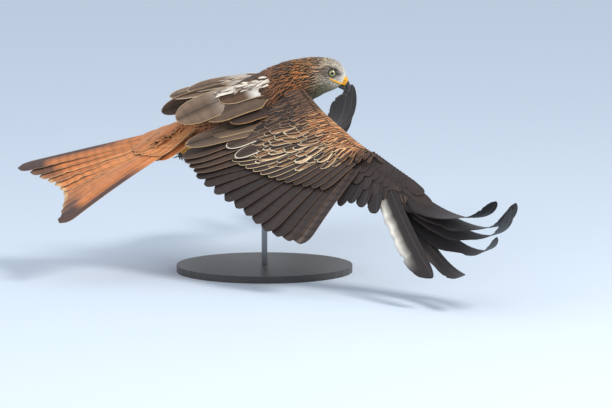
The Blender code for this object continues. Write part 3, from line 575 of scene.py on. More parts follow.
class Finish:
    """One material and its nodes. Sockets that are the same all over are set on the shader itself."""

    def __init__(self, name, **same_all_over):
        self.material = bpy.data.materials.new(name)
        self.material.use_nodes = True
        self.tree = self.material.node_tree
        self.shader = self.tree.nodes["Principled BSDF"]
        for socket, value in same_all_over.items():
            self.shader.inputs[socket.replace("_", " ")].default_value = value

    def node(self, kind, inputs=(), stops=None, **settings):
        made = self.tree.nodes.new(kind)
        for name, value in settings.items():
            setattr(made, name, value)
        if stops is not None:
            ramp = made.color_ramp
            while len(ramp.elements) < len(stops):
                ramp.elements.new(1.0)
            for element, (position, colour) in zip(ramp.elements, stops):
                element.position = position
                element.color = (*colour, 1.0)
        pairs = inputs.items() if isinstance(inputs, dict) else enumerate(inputs)
        for key, value in pairs:
            self.feed(made.inputs[key], value)
        return made

    def feed(self, socket, value):
        if isinstance(value, Number):
            self.tree.links.new(socket, value.socket)
        elif isinstance(value, bpy.types.NodeSocket):
            self.tree.links.new(socket, value)
        elif hasattr(value, "__len__") and len(value) == 3 and socket.type == "RGBA":
            socket.default_value = (*value, 1.0)
        else:
            socket.default_value = value

    def attribute(self, name):
        """An attribute's colour or vector, and its three numbers."""
        made = self.node("ShaderNodeAttribute", attribute_name=name)
        parts = self.node("ShaderNodeSeparateXYZ", [made.outputs["Vector"]])
        return made.outputs["Color"], [Number(self, out) for out in parts.outputs]

    def here(self):
        """The place on the object itself, in metres."""
        return self.node("ShaderNodeTexCoord").outputs["Object"]

    def noise(self, vector, scale=1.0, detail=2.0):
        made = self.node("ShaderNodeTexNoise", {"Vector": vector, "Scale": scale, "Detail": detail})
        return Number(self, made.outputs[0])

    def vector(self, x, y, z):
        return self.node("ShaderNodeCombineXYZ", [x, y, z]).outputs[0]

    def mix(self, share, a, b, blend="MIX"):
        made = self.node("ShaderNodeMix", data_type="RGBA", blend_type=blend)
        for index, value in ((0, share), (6, a), (7, b)):
            self.feed(made.inputs[index], value)
        return made.outputs[2]

    def scaled(self, colour, number):
        made = self.node("ShaderNodeVectorMath", {0: colour, "Scale": number}, operation="SCALE")
        return made.outputs[0]

    def bump(self, height, distance, strength=0.5):
        made = self.node("ShaderNodeBump", {"Height": height, "Distance": distance, "Strength": strength})
        self.feed(self.shader.inputs["Normal"], made.outputs[0])

    def colour(self, value):
        self.feed(self.shader.inputs["Base Color"], value)


# %% [markdown]
# ## The finish of a feather
# A vane is built of barbs that leave the shaft at a slant. Its middle is often dark along the shaft, and
# its rim is paler and wears away. The finish reads each corner's numbers for where it is on its own
# feather, so that the same few nodes paint every feather: ground colour, streak, fringe, bars and barbs.

# %% Feather finish
def plumage(name, roughness, sheen, barb=0.0007):
    f = Finish(name, Roughness=roughness, Sheen_Weight=sheen, Sheen_Roughness=0.5, Specular_IOR_Level=0.25)
    _, (x, y, rim) = f.attribute("vane")
    ground, _ = f.attribute("ground")
    streak, _ = f.attribute("streak")
    fringe, _ = f.attribute("fringe")
    _, (fringe_width, streak_width, bars) = f.attribute("design")
    reach = abs(y)
    slant = x - reach * 0.85
    barbs = f.noise(f.vector(slant / barb, y * 120.0, x * 30.0), detail=2.0)
    blotch = f.noise(f.vector(x * 70.0, y * 160.0, rim * 20.0), detail=3.0)
    torn = rim + (barbs - 0.5) * 0.0012
    edge = ((fringe_width - torn) / (fringe_width * 0.35 + 0.00025)).clamped()
    near = reach + (barbs - 0.5) * 0.0006
    line = ((streak_width - near) / (streak_width * 0.45 + 0.00025)).clamped()
    band = ((x * 400.0 + reach * 60.0 + blotch * 3.0).wave() * 2.0 - 0.4).clamped() * bars
    colour = f.mix(line, ground, streak)
    colour = f.mix(band, colour, f.scaled(colour, 0.35))
    colour = f.mix(edge, colour, fringe)
    f.colour(f.scaled(colour, blotch * 0.5 + barbs * 0.35 + 0.58))
    f.bump(barbs + (0.0006 - reach).maths("MAXIMUM", 0.0) * 1200.0, 0.0003, 0.45)
    return f.material


body_finish = plumage("soft_body_feather", 0.75, 0.15)
flight_finish = plumage("firm_flight_feather", 0.55, 0.08)
print("feather finishes:", body_finish.name, flight_finish.name)

# %% [markdown]
# ## Head frame
# The head has its own axes: it starts at the corner of the mouth and its x axis runs along the closed
# bill. Bill, cere, eyes and lids are placed in it.

# %% Head frame
GAPE = np.array((0.0476, 0.0, 0.0386))
BILL_PITCH = math.radians(30.0)
EYE_RADIUS = 0.0084
EYE_AT = (0.0016, 0.0140, 0.0112)


def head_at(x, y, z):
    x, y, z = (np.asarray(v, float)[..., None] for v in (x, y, z))
    ahead = np.array((math.cos(BILL_PITCH), 0.0, -math.sin(BILL_PITCH)))
    up = np.array((math.sin(BILL_PITCH), 0.0, math.cos(BILL_PITCH)))
    return BIRD_AT + turned(GAPE + x * ahead + z * up + y * np.array((0.0, 1.0, 0.0)))


HEAD_AXES = [unit(head_at(*step) - head_at(0, 0, 0)) for step in ((0.01, 0, 0), (0, 0.01, 0), (0, 0, 0.01))]
eye_places = {side: head_at(EYE_AT[0], side * EYE_AT[1], EYE_AT[2]) for side in (1, -1)}
print("right eye at", eye_places[-1].round(4))

# %% [markdown]
# ## Feathers of head, neck and trunk
# On the head the feathers are tiny and pale with dark shafts. On the nape they are long, pointed and
# rufous with black streaks. The mantle is dark brown with rufous fringes, and the underside is rufous
# with thin streaks. Rows run round the body, each shifted by half a feather, and each feather is three
# times as long as the rows are apart, or a little more.

# %% Colours of the trunk
TOP_PLACES = (0.0, 1.6, 3.3, 4.5, 5.5, 6.8, 8.0, 10.5, 12.2, 15.0)
TOP_GROUND = ((242, 236, 224), (220, 211, 197), (182, 167, 147), (196, 132, 80), (200, 118, 58),
              (128, 80, 50), (80, 58, 46), (92, 68, 53), (190, 116, 66), (192, 114, 62))
TOP_STREAK = ((124, 112, 102), (58, 50, 46), (26, 21, 20), (14, 11, 11), (13, 10, 10), (24, 18, 16),
              (36, 28, 25), (48, 37, 33), (82, 50, 34), (98, 58, 36))
TOP_FRINGE = ((244, 240, 230), (238, 230, 218), (236, 218, 190), (246, 204, 146), (238, 174, 104),
              (192, 126, 76), (150, 106, 74), (184, 140, 98), (216, 158, 106), (222, 170, 116))
LOW_PLACES = (0.0, 1.5, 3.0, 4.4, 6.5, 9.0, 11.0, 13.0, 15.0)
LOW_GROUND = ((170, 165, 146), (128, 123, 102), (92, 86, 64), (104, 78, 52), (144, 84, 50), (152, 88, 52),
              (164, 100, 60), (184, 126, 82), (188, 134, 90))
LOW_STREAK = ((100, 94, 82), (66, 61, 48), (40, 35, 26), (28, 22, 18), (38, 27, 24), (46, 32, 27),
              (68, 44, 33), (118, 78, 53), (128, 86, 57))
LOW_FRINGE = ((190, 186, 168), (158, 152, 128), (128, 120, 92), (166, 126, 86), (192, 130, 84),
              (194, 128, 82), (200, 140, 94), (208, 158, 112), (212, 164, 118))
# Dark marks of the face in the head frame: forward and upward place, their reaches, and strength.
FACE_MARKS = (
    (0.0150, 0.0150, 0.0066, 0.0046, 0.82),
    (0.0150, 0.0095, 0.0070, 0.0050, 0.35),
    (0.0085, 0.0202, 0.0060, 0.0024, 0.85),
    (0.0000, 0.0206, 0.0060, 0.0020, 0.85),
    (-0.0085, 0.0155, 0.0040, 0.0024, 0.85),
    (0.0016, 0.0112, 0.0100, 0.0092, 0.90),
)


def face_dark(spots):
    """How dark the face is at places: lores, behind the eye, and round the eye."""
    local = (spots - head_at(0, 0, 0)) @ np.array(HEAD_AXES).T
    dark = np.zeros(len(spots))
    for x, z, reach_x, reach_z, strength in FACE_MARKS:
        away = ((local[:, 0] - x) / reach_x) ** 2 + ((local[:, 2] - z) / reach_z) ** 2
        dark = np.maximum(dark, strength * np.exp(-(away**2)) * (np.abs(local[:, 1]) > 0.006))
    return dark


def trunk_colours(u, angle):
    """Ground, streak and fringe of feathers on the trunk."""
    top = eased((np.cos(angle) + 0.55 + 0.35 * (eased((u - 6.0) / 1.5) + eased((2.5 - u) / 1.5))) / 0.9)
    pairs = ((TOP_GROUND, LOW_GROUND), (TOP_STREAK, LOW_STREAK), (TOP_FRINGE, LOW_FRINGE))
    found = [mixed(blended(LOW_PLACES, low, u), blended(TOP_PLACES, high, u), top) for high, low in pairs]
    dark = face_dark(body_at(u, angle))
    tone = rng.uniform(0.80, 1.20, len(u))[:, None]
    return [mixed(c * tone, shade(58, 48, 42), dark) for c in found]


# %% Rows round the trunk
# Rings, and how deep the skin lies there under the outline of the coat.
SKIN_DEPTH = ((0.0, 1.0, 3.5, 5.5, 8.0, 12.0, 15.0), (0.0008, 0.0014, 0.0026, 0.0050, 0.0070, 0.0060, 0.0030))
EYE_CLEAR = 0.0076


def skin_depth(u):
    return np.interp(u, *SKIN_DEPTH)


def trunk_skin(u, angle):
    du, da = slopes(body_at, u, angle)
    return body_at(u, angle) - unit(np.cross(da, du)) * skin_depth(u)[..., None]


def row_places(u_from, u_to, spacing_from, spacing_to):
    """Places of rows along the trunk, with spacings in metres that grow from one end to the other."""
    fine = np.linspace(u_from, u_to, 400)
    step = np.linalg.norm(np.diff((body_at(fine, 0.9) + body_at(fine, 2.0)) / 2, axis=0), axis=1)
    share = (fine[1:] - u_from) / (u_to - u_from)
    passed = np.concatenate(([0.0], np.cumsum(step / (spacing_from + (spacing_to - spacing_from) * share))))
    return np.interp(np.arange(0.0, passed[-1], 1.0), passed, fine)


def unwrap_trunk(roots):
    angle = np.mod(roots[:, 1] + math.pi, math.tau) / math.tau
    return np.stack((0.02 + 0.96 * angle, 0.02 + 0.96 * roots[:, 0] / LAST_RING), axis=-1)


def clear_of_eyes(middle):
    """Which feathers of the head stay out of the eyes."""
    near = [np.linalg.norm(middle - eye_places[side], axis=-1).min(axis=(1, 2)) for side in (1, -1)]
    return np.minimum(*near) > EYE_CLEAR


def trunk_rows(coat, u_from, u_to, spacing, ratio, shape, half_share, lift, streak, fringe,
               stops=SMALL_STOPS, columns=SMALL_COLUMNS, thick=0.00035, keep=None):
    """Rows of feathers round a length of the trunk. ratio is a feather's length over the rows' spacing, and
    half_share, streak and fringe are widths as shares of the spacing or of half a feather."""
    rows = row_places(u_from, u_to, *spacing)
    for k, u in enumerate(rows):
        step = (rows[k + 1] - u) if k + 1 < len(rows) else (u - rows[k - 1])
        ring = trunk_skin(np.full(97, u), np.linspace(0, math.tau, 97))
        around = np.linalg.norm(np.diff(ring, axis=0), axis=1).sum()
        wide = spacing[0] + (spacing[1] - spacing[0]) * (u - u_from) / (u_to - u_from)
        count = max(10, int(around / (wide * 0.95)))
        angle = (np.arange(count) + 0.5 * (k % 2)) * math.tau / count + rng.normal(0, 0.012, count)
        at = np.full(count, u) + rng.normal(0, 0.12, count) * step
        du, _ = slopes(trunk_skin, at, angle)
        length = np.linalg.norm(du, axis=-1) * step * ratio * rng.uniform(0.9, 1.15, count)
        length = np.clip(length, wide * ratio * 0.55, wide * ratio * 1.5)
        half = around / count * half_share * rng.uniform(0.92, 1.12, count)
        heading = np.stack((np.ones(count), rng.normal(0, 0.05, count)), axis=-1)
        colours = trunk_colours(at, angle)
        design = per_feather(count, half * fringe, half * streak * rng.uniform(0.8, 1.2, count), 0.0)
        lay(coat, trunk_skin, 1.0, per_feather(count, at, angle), heading, length, half, lift, shape, colours,
            design, unwrap_trunk, stops, columns, thick=thick, keep=keep)


head_coat = Coat("coat_head")
trunk_rows(head_coat, 0.10, 2.0, (0.0014, 0.0021), 3.0, POINTED, 0.62, 0.10, 0.30, 0.28,
           TINY_STOPS, TINY_COLUMNS, thick=0.00018, keep=clear_of_eyes)
trunk_rows(head_coat, 2.0, 3.9, (0.0021, 0.0038), 3.4, POINTED, 0.58, 0.12, 0.42, 0.24,
           thick=0.00022, keep=clear_of_eyes)
head_coat.piece(body_finish, "head_feather")

neck_coat = Coat("coat_neck")
trunk_rows(neck_coat, 3.8, 7.0, (0.0042, 0.0078), 3.6, POINTED, 0.64, 0.13, 0.60, 0.10)
neck_coat.piece(body_finish, "rufous_feather")

torso_coat = Coat("coat_torso")
trunk_rows(torso_coat, 7.0, 14.6, (0.0072, 0.0098), 3.0, ROUND_TIP, 0.66, 0.12, 0.26, 0.16, thick=0.0005)
torso_coat.piece(body_finish, "rufous_feather")


def plain(n, *rgb, spread=0.12):
    """One colour for n feathers, a little lighter or darker from one to the next."""
    return np.tile(shade(*rgb), (n, 1)) * rng.uniform(1 - spread, 1 + spread, n)[:, None]


# %% [markdown]
# The thighs wear loose rufous trousers. Each thigh is an egg-shaped surface with rows from its front end
# to its back end, and the hind rows hang over the ankle.

# %% Trousers
THIGH_AT = np.array((-0.108, 0.027, -0.049))
THIGH_RADII = np.array((0.042, 0.015, 0.018))
THIGH_AXES = np.array(Matrix.Rotation(math.radians(20.0), 3, "Y")).T
TROUSERS_SUNK = 0.94


def thigh_at(side):
    """The surface of a thigh: one number runs from its front end to its back end, the other round it."""
    def surface(p, q):
        p, q = np.broadcast_arrays(p, q)
        ball = np.stack((np.cos(p), np.sin(p) * np.cos(q), np.sin(p) * np.sin(q)), axis=-1)
        egg = ball * THIGH_RADII * TROUSERS_SUNK
        return BIRD_AT + THIGH_AT * (1, side, 1) + egg @ THIGH_AXES

    return surface


def unwrap_thigh(roots):
    """Places on the unwrap, with the two thighs side by side."""
    x = 0.25 + 0.5 * (side > 0) + 0.2 * np.sin(roots[:, 1])
    return np.stack((x, 0.1 + 0.25 * roots[:, 0]), axis=-1)


thigh_coat = Coat("coat_thighs")
for side in (1, -1):
    for k, p in enumerate(np.linspace(0.35, 2.75, 11)):
        n = max(6, int(13 * math.sin(p)))
        around = (np.arange(n) + 0.5 * (k % 2)) * math.tau / n + rng.normal(0, 0.05, n)
        roots = per_feather(n, p + rng.normal(0, 0.02, n), around)
        heading = per_feather(n, 1.0, rng.normal(0, 0.08, n))
        half = rng.uniform(0.0040, 0.0052, n)
        design = per_feather(n, half * 0.22, half * 0.2, 0.0)
        tones = [plain(n, 172, 112, 66, spread=0.2), plain(n, 74, 50, 36), plain(n, 206, 150, 96)]
        lay(thigh_coat, thigh_at(side), 1.0, roots, heading, rng.uniform(0.019, 0.024, n), half, 0.12,
            ROUND_TIP, tones, design, unwrap_thigh, thick=0.0004)
thigh_coat.piece(body_finish, "rufous_feather")

# %% [markdown]
# ## Small feathers of the wing
# The wing's lesser coverts lie in rows behind its leading edge, smallest at the edge. Near the shoulder
# they are dark with fine fringes, and over the middle of the wing they are tan with a dark middle and a
# thin cream fringe, more orange towards the leading edge. The lower side is rufous with dark streaks.

# %% Rows on the wing
# Places outward along the wing, and which way the coverts point there, in degrees.
COVERT_TURN = ((0.0, 0.03, 0.075, 0.118, 0.16, 0.208, 0.25, 0.33),
               (-86.0, -86.0, -92.0, -100.0, -80.0, -56.0, -34.0, 6.0))
# The line of the big feathers' roots: places outward and forward.
ROOT_LINE = ((-0.02, 0.04, 0.118, 0.208, 0.314), (-0.040, -0.036, -0.032, 0.081, 0.122))
# How far the rows run on behind that line, at places outward.
UPPER_REACH = ((0.02, 0.06, 0.17, 0.195, 0.225, 0.25), (0.040, 0.050, 0.046, 0.026, 0.010, -0.002))
LOWER_REACH = ((0.02, 0.06, 0.17, 0.215), (-0.010, 0.026, 0.030, 0.020))
# Places outward, and the width of the fringe there as a share of half a feather.
FRINGE_WIDTHS = ((0.03, 0.06, 0.17, 0.21), (0.10, 0.20, 0.20, 0.08))
LAST_ROW_BEHIND = 0.130


def covert_top(forward, outward):
    """The upper side of the wing, carried on over the roots of the greater coverts."""
    past = np.interp(outward, *ROOT_LINE) + 0.012 - forward
    return wing_top(forward, outward) + UPWARD * (0.0090 * eased(past / 0.035))[..., None]


def covert_colours(forward, outward, behind):
    """Ground, streak and fringe of the lesser coverts of the upper wing."""
    n = len(forward)
    inner = 1.0 - eased((outward - 0.045) / 0.050)
    edge = 1.0 - eased((behind - 0.010) / 0.032)
    tip = eased((outward - 0.180) / 0.035)
    ground = np.tile(shade(150, 112, 78), (n, 1))
    ground = mixed(ground, shade(214, 136, 78), edge * 0.85)
    ground = mixed(ground, shade(92, 68, 53), inner * 0.92)
    ground = mixed(ground, shade(56, 44, 39), tip * 0.9)
    dark = mixed(np.tile(shade(30, 23, 22), (n, 1)), shade(44, 31, 27), edge)
    pale = np.tile(shade(246, 222, 184), (n, 1))
    pale = mixed(pale, shade(246, 196, 140), edge * 0.8)
    pale = mixed(pale, shade(150, 108, 76), inner * 0.85)
    pale = mixed(pale, shade(126, 92, 66), tip * 0.85)
    tone = rng.uniform(0.72, 1.25, n)[:, None]
    return [ground * tone, dark, pale * tone]


def under_colours(forward, outward, behind):
    """The same for the lower wing, where the distance behind the edge makes no difference."""
    n = len(forward)
    tip = eased((outward - 0.19) / 0.05)
    ground = mixed(np.tile(shade(140, 84, 52), (n, 1)), shade(82, 66, 58), tip)
    dark = np.tile(shade(46, 34, 30), (n, 1))
    pale = mixed(np.tile(shade(196, 138, 94), (n, 1)), shade(150, 130, 112), tip)
    tone = rng.uniform(0.8, 1.2, n)[:, None]
    return [ground * tone, dark, pale * tone]


def wing_rows(coat, side, surface, facing, colours_of, steps, reach):
    """Rows behind the leading edge, as far as the reach behind the line of the big feathers' roots."""
    def place(roots):
        y = (0.5 if facing < 0 else 0.02) + 0.45 * (roots[:, 0] + 0.10) / 0.23
        return np.stack((0.05 + 0.9 * (roots[:, 1] + 0.02) / 0.34, y), axis=-1)

    behind = 0.0015
    k = 0
    while behind < LAST_ROW_BEHIND:
        spacing = steps[0] + (steps[1] - steps[0]) * min(behind / 0.060, 1.0)
        outward = np.arange(-0.010 + 0.5 * (k % 2) * spacing, 0.318, spacing)
        outward = outward + rng.normal(0, 0.08, len(outward)) * spacing
        front = wing_section(outward)[0]
        forward = front - behind + rng.normal(0, 0.06, len(outward)) * spacing
        inside = forward > np.interp(outward, *ROOT_LINE) - np.interp(outward, *reach)
        outward, forward = outward[inside], forward[inside]
        n = len(outward)
        if n:
            turn = np.radians(np.interp(outward, *COVERT_TURN) + rng.normal(0, 7.0, n))
            heading = np.stack((np.sin(turn), np.cos(turn)), axis=-1)
            length = spacing * 3.5 * rng.uniform(0.85, 1.2, n)
            half = spacing * 0.60 * rng.uniform(0.85, 1.15, n)
            wide = np.interp(outward, *FRINGE_WIDTHS) * rng.uniform(0.4, 1.6, n)
            design = per_feather(n, half * wide, half * 0.55 * rng.uniform(0.6, 1.3, n), 0.0)
            colours = colours_of(forward, outward, np.full(n, behind))
            lay(coat, surface, facing, per_feather(n, forward, outward), heading, length, half, 0.10,
                ROUND_TIP, colours, design, place, pose=lambda p: posed_wing(p, side), thick=0.0004)
        behind += spacing * 1.2
        k += 1


wing_coats = []
for side, word in ((1, "left"), (-1, "right")):
    coverts = Coat(f"coat_wing_{word}")
    wing_coats.append(coverts)
    wing_rows(coverts, side, covert_top, -1.0, covert_colours, (0.0052, 0.0125), UPPER_REACH)
    wing_rows(coverts, side, wing_under, 1.0, under_colours, (0.0060, 0.0120), LOWER_REACH)
    coverts.piece(body_finish, "brown_feather")

# %% [markdown]
# ## Flight feathers
# Ten primaries stand on the hand and eleven secondaries on the forearm, with tertials towards the body.
# The innermost primaries are still growing, so there is a ragged gap behind the wrist. The outer five are
# notched fingers that bend up in flight. Rows of coverts cover their roots.

# %% Vanes of one wing
PRIMARY_ROOTS = np.array((0.06, 0.15, 0.24, 0.33, 0.43, 0.54, 0.66, 0.78, 0.88, 0.97))
PRIMARY_LENGTHS = np.array((0.108, 0.095, 0.097, 0.107, 0.280, 0.338, 0.366, 0.378, 0.350, 0.260))
PRIMARY_ANGLES = np.array((-40.5, -35.5, -27.0, -16.0, -2.0, 4.0, 16.5, 23.5, 27.2, 28.5))
PRIMARY_RISE = np.array(((-4.0, -6.0), (-4.0, -6.0), (-5.0, -6.0), (-6.0, -6.0), (-9.0, -6.0), (-36.0, 34.0),
                         (-40.0, 57.0), (-34.0, 66.0), (-28.7, 60.0), (-26.0, 53.0)))
PRIMARY_SWEEPS = np.array((-4.0, -4.0, -4.0, -4.0, 9.0, 13.0, 14.0, 14.5, 13.0, 14.0))
# For the right and the left hand: turn of the outermost finger, share of the bend, and added first rise.
FINGER_POSE = {-1: (70.0, 1.0, 0.0), 1: (60.0, 0.45, 16.0)}
# How far forward each primary of a hand is turned, and the hand's length as a share of the table's.
HAND_SPREAD = {-1: np.zeros(10), 1: np.array((0.0, 0.0, 0.0, 0.0, -6.0, -3.0, 0.0, 4.0, 5.0, 5.0))}
HAND_LENGTH = {-1: 1.0, 1: 0.96}
# The left secondaries are raised, so that their tips don't show below the nearer wing.
SECONDARIES_RAISED = {-1: 0.0, 1: 11.0}
SECONDARY_LENGTHS = (0.204, 0.203, 0.199, 0.194, 0.182, 0.175, 0.172, 0.172, 0.173, 0.173)
SECONDARY_ANGLES = (-43.7, -46.5, -50.0, -54.5, -60.5, -67.0, -74.0, -81.5, -89.5, -96.6)
ROLL = 5.5


def plan_axes(angle):
    turn = np.radians(np.asarray(angle, float))[:, None]
    along = np.cos(turn) * OUTWARD + np.sin(turn) * FORWARD
    across = np.cos(turn) * FORWARD - np.sin(turn) * OUTWARD
    return along, across, np.broadcast_to(UPWARD, along.shape)


def plan_line(a, b, share):
    return tuple(p + (q - p) * share for p, q in zip(a, b))


def wing_vanes(coat, side, forward, outward, up, angle, length, lead, trail, rise, sweep, colours, design,
               roll=(ROLL, ROLL), round_from=0.72, finger_from=None, finger=(0.85, 0.55), ragged=0.0,
               stops=LONG_STOPS, columns=LONG_COLUMNS, thick=(0.0009, 0.0004)):
    """Feathers that start in the wing's plan. Most numbers may be one for all or one for each."""
    n = len(forward)
    length, lead, trail, sweep = (np.broadcast_to(v, n) for v in (length, lead, trail, sweep))
    rise, roll = (np.broadcast_to(np.asarray(v, float), (n, 2)) for v in (rise, roll))
    root = wing_plan(forward, outward, up)
    stations = free_vanes(root, plan_axes(np.broadcast_to(angle, n)), length, rise, sweep, roll, stops)
    widths = vane_widths(lead, trail, stops, round_from=round_from, finger_from=finger_from, finger=finger)
    hang(coat, stations, length, widths, colours, design, stops, columns, thick=thick, ragged=ragged,
         pose=lambda p: posed_wing(p, side))


def grid_of(n, stops=LONG_STOPS, columns=LONG_COLUMNS):
    """Places along and across every corner of n vanes, for painting them."""
    return np.broadcast_arrays(stops[None, :, None], columns[None, None], np.zeros((n, 1, 1)))[:2]


def primaries(coat, side):
    n = 10
    index = np.arange(n)
    forward, outward = plan_line(WRIST, HAND_TIP, PRIMARY_ROOTS)
    t, c = grid_of(n)
    grown = index >= 4
    fingered = index >= 5
    # Only the fingers are notched. A notch that starts past the tip never shows.
    fingers = np.where(fingered, 0.44, 5.0)
    mottle = 0.75 + 0.25 * rng.random((n, len(LONG_STOPS), 1))
    white = eased((0.90 - t) / 0.30) * eased((-c - 0.35) / 0.60) * eased((t - 0.12) / 0.10) * mottle
    inner = np.interp(index, (3, 4, 5, 6), (0.0, 1.0, 0.08, 0.0))[:, None, None]
    ground = mixed(shade(44, 37, 37), shade(250, 242, 228), white * inner)
    ground = mixed(ground, shade(30, 28, 30), eased((t - 0.55) / 0.2) * 0.7 * fingered[:, None, None])
    colours = [ground, plain(n, 72, 67, 67), plain(n, 66, 56, 50)]
    raised = index >= (5 if side < 0 else 4)
    turn, bend, lift = FINGER_POSE[side]
    turned_by = ROLL - turn * np.maximum(0.0, (index - 4.0) / 5.0) * fingered
    rise = PRIMARY_RISE * np.where(raised, bend, 1.0)[:, None] ** (0.0, 1.0) + lift * raised[:, None]
    wing_vanes(coat, side, forward - 0.010, outward, 0.0, PRIMARY_ANGLES + HAND_SPREAD[side],
               PRIMARY_LENGTHS * HAND_LENGTH[side], np.where(grown, 0.0095, 0.0085),
               np.where(grown, 0.0300, 0.0190), rise, PRIMARY_SWEEPS, colours,
               per_feather(n, 0.0004, 0.0008, 0.08), roll=per_feather(n, ROLL, turned_by),
               round_from=np.where(fingered, 0.80, 0.72), finger_from=fingers,
               finger=(0.85, 0.55) if side < 0 else (0.95, 0.85), ragged=0.16)


def secondaries(coat, side):
    n = 11
    share = np.linspace(0.0, 1.0, n)
    table = np.linspace(0.0, 1.0, len(SECONDARY_ANGLES))
    forward, outward = plan_line(WRIST, ELBOW, 0.05 + 0.93 * share)
    _, c = grid_of(n)
    outer = eased(1.0 - share / 0.16)
    pale_web = outer[:, None, None] * eased((-c + 0.3) / 0.5) * 0.7
    ground = mixed(shade(52, 42, 39), shade(116, 101, 92), pale_web)
    ground = ground * rng.uniform(0.75, 1.3, n)[:, None, None, None]
    colours = [ground, plain(n, 62, 52, 48), plain(n, 118, 88, 66)]
    rise = per_feather(n, 3.0 + 3.0 * share, -12.0 + 12.0 * share) + SECONDARIES_RAISED[side]
    wing_vanes(coat, side, forward - 0.010, outward, 0.0, np.interp(share, table, SECONDARY_ANGLES),
               np.interp(share, table, SECONDARY_LENGTHS), 0.0160, 0.0330, rise, -8.0, colours,
               per_feather(n, 0.0006, 0.0006, 0.12 + 0.4 * outer), round_from=0.88, ragged=0.08)


def tertials(coat, side):
    n = 4
    share = np.linspace(0.25, 1.0, n)
    forward, outward = plan_line(ELBOW, (-0.036, 0.040), share)
    colours = [plain(n, 82, 66, 57), plain(n, 46, 38, 34), plain(n, 146, 116, 88)]
    wing_vanes(coat, side, forward - 0.004, outward, 0.0030 + 0.0040 * share, -98.0 + 16.0 * share,
               0.172 + 0.010 * share, 0.0180, 0.0260, per_feather(n, 3.0 + 5.0 * share, 1.0 + 7.0 * share),
               -4.0, colours, per_feather(n, 0.0010, 0.0010, 0.12), round_from=0.74, ragged=0.06)


# Root and tip in the wing's plan, half width, width of the pale fringe, and the colours of vane and fringe.
INNER_COVERTS = (
    ((-0.058, 0.024, 0.002), (-0.167, 0.040, 0.038), 0.018, 0.0014, (100, 82, 67), (190, 160, 116)),
    ((-0.060, 0.034, 0.000), (-0.207, 0.051, 0.046), 0.020, 0.0014, (92, 75, 62), (180, 148, 106)),
    ((-0.057, 0.047, 0.000), (-0.144, 0.073, 0.025), 0.016, 0.0020, (80, 63, 53), (238, 226, 202)),
    ((-0.056, 0.074, -0.002), (-0.136, 0.102, 0.021), 0.014, 0.0020, (66, 51, 44), (240, 228, 204)),
)


def inner_coverts(coat, side):
    """Large soft coverts beside the body, which lie over the tertials."""
    root, tip = (wing_plan(*np.array([row[k] for row in INNER_COVERTS]).T) for k in (0, 1))
    half = np.array([row[2] for row in INNER_COVERTS])
    n = len(half)
    t, c = grid_of(n)
    ground = np.array([shade(*row[4]) for row in INNER_COVERTS])[:, None, None]
    webs = ground * (0.75 + 0.55 * eased((abs(c) - 0.1) / 0.7))[..., None]
    ground = mixed(webs, ground * 1.6, eased((0.62 - t) / 0.3) * 0.6)
    pale = np.array([shade(*row[5]) for row in INNER_COVERTS])
    ground = mixed(ground, pale[:, None, None], eased((t - 0.95) / 0.04) * 0.7)
    design = np.array([(row[3], 0.0022, 0.0) for row in INNER_COVERTS])
    placed(coat, root, tip, UPWARD, 1.0, half, np.full(n, 6.0), np.full(n, 8.0),
           [ground, plain(n, 58, 47, 41), pale], design, pose=lambda p: posed_wing(p, side))


def arm_coverts(coat, side):
    """Greater coverts over the secondaries."""
    n = 13
    share = np.linspace(0.0, 1.0, n)
    forward, outward = plan_line(WRIST, ELBOW, 0.05 + 0.95 * share)
    cream = eased((share - 0.20) / 0.4)
    pale = mixed(shade(150, 112, 80), shade(232, 200, 154), cream)
    design = per_feather(n, 0.0007 + 0.0009 * cream, 0.0016, 0.05)
    wing_vanes(coat, side, forward - 0.010, outward, 0.0050, -56.0 - 52.0 * share, 0.098 + 0.018 * share,
               0.0115, 0.0200, per_feather(n, 6.0 + 2.0 * share, -3.0 + 5.0 * share), -4.0,
               [plain(n, 60, 47, 42), plain(n, 36, 29, 28), pale], design, thick=(0.0007, 0.0004))


# Rows of primary coverts: how many, height, shares of the length and of the width, and place behind.
HAND_COVERT_ROWS = (
    (10, 0.0035, 1.0, 1.0, 0.008),
    (12, 0.0060, 0.66, 0.90, 0.004),
    (14, 0.0078, 0.40, 0.75, -0.002),
)


def hand_coverts(coat, side):
    """Primary coverts in three rows, and the alula on the thumb."""
    for n, height, reach, wide, back in HAND_COVERT_ROWS:
        share = np.linspace(0.0, 1.0, n)
        forward, outward = plan_line(WRIST, HAND_TIP, 0.06 + 0.86 * share)
        colours = [plain(n, 54, 45, 42), plain(n, 64, 56, 53), plain(n, 86, 68, 55)]
        wing_vanes(coat, side, forward - back, outward, height, -36.0 + 62.0 * share**0.85,
                   (0.062 + 0.042 * share) * reach, 0.0080 * wide, 0.0160 * wide,
                   per_feather(n, -4.0 - 21.0 * share, -6.0 - 14.0 * share), 0.0, colours,
                   per_feather(n, 0.0006, 0.0006, 0.0), round_from=0.70, thick=(0.0007, 0.0004))
    index = np.arange(3)
    forward, outward = plan_line(WRIST, HAND_TIP, 0.04 + 0.10 * index)
    colours = [plain(3, 46, 40, 39), plain(3, 74, 67, 64), plain(3, 92, 72, 58)]
    wing_vanes(coat, side, forward - 0.004 - 0.002 * index, outward, 0.0040 + 0.0010 * index,
               4.0 + 3.0 * index, 0.092 - 0.016 * index, 0.0060, 0.0115, (-17.0, -22.0), 0.0, colours,
               per_feather(3, 0.0006, 0.0009, 0.0), round_from=0.66)


for side, word in ((1, "left"), (-1, "right")):
    flight = Coat(f"flight_feathers_{word}")
    primaries(flight, side)
    secondaries(flight, side)
    tertials(flight, side)
    inner_coverts(flight, side)
    arm_coverts(flight, side)
    hand_coverts(flight, side)
    flight.piece(flight_finish, "brown_feather")

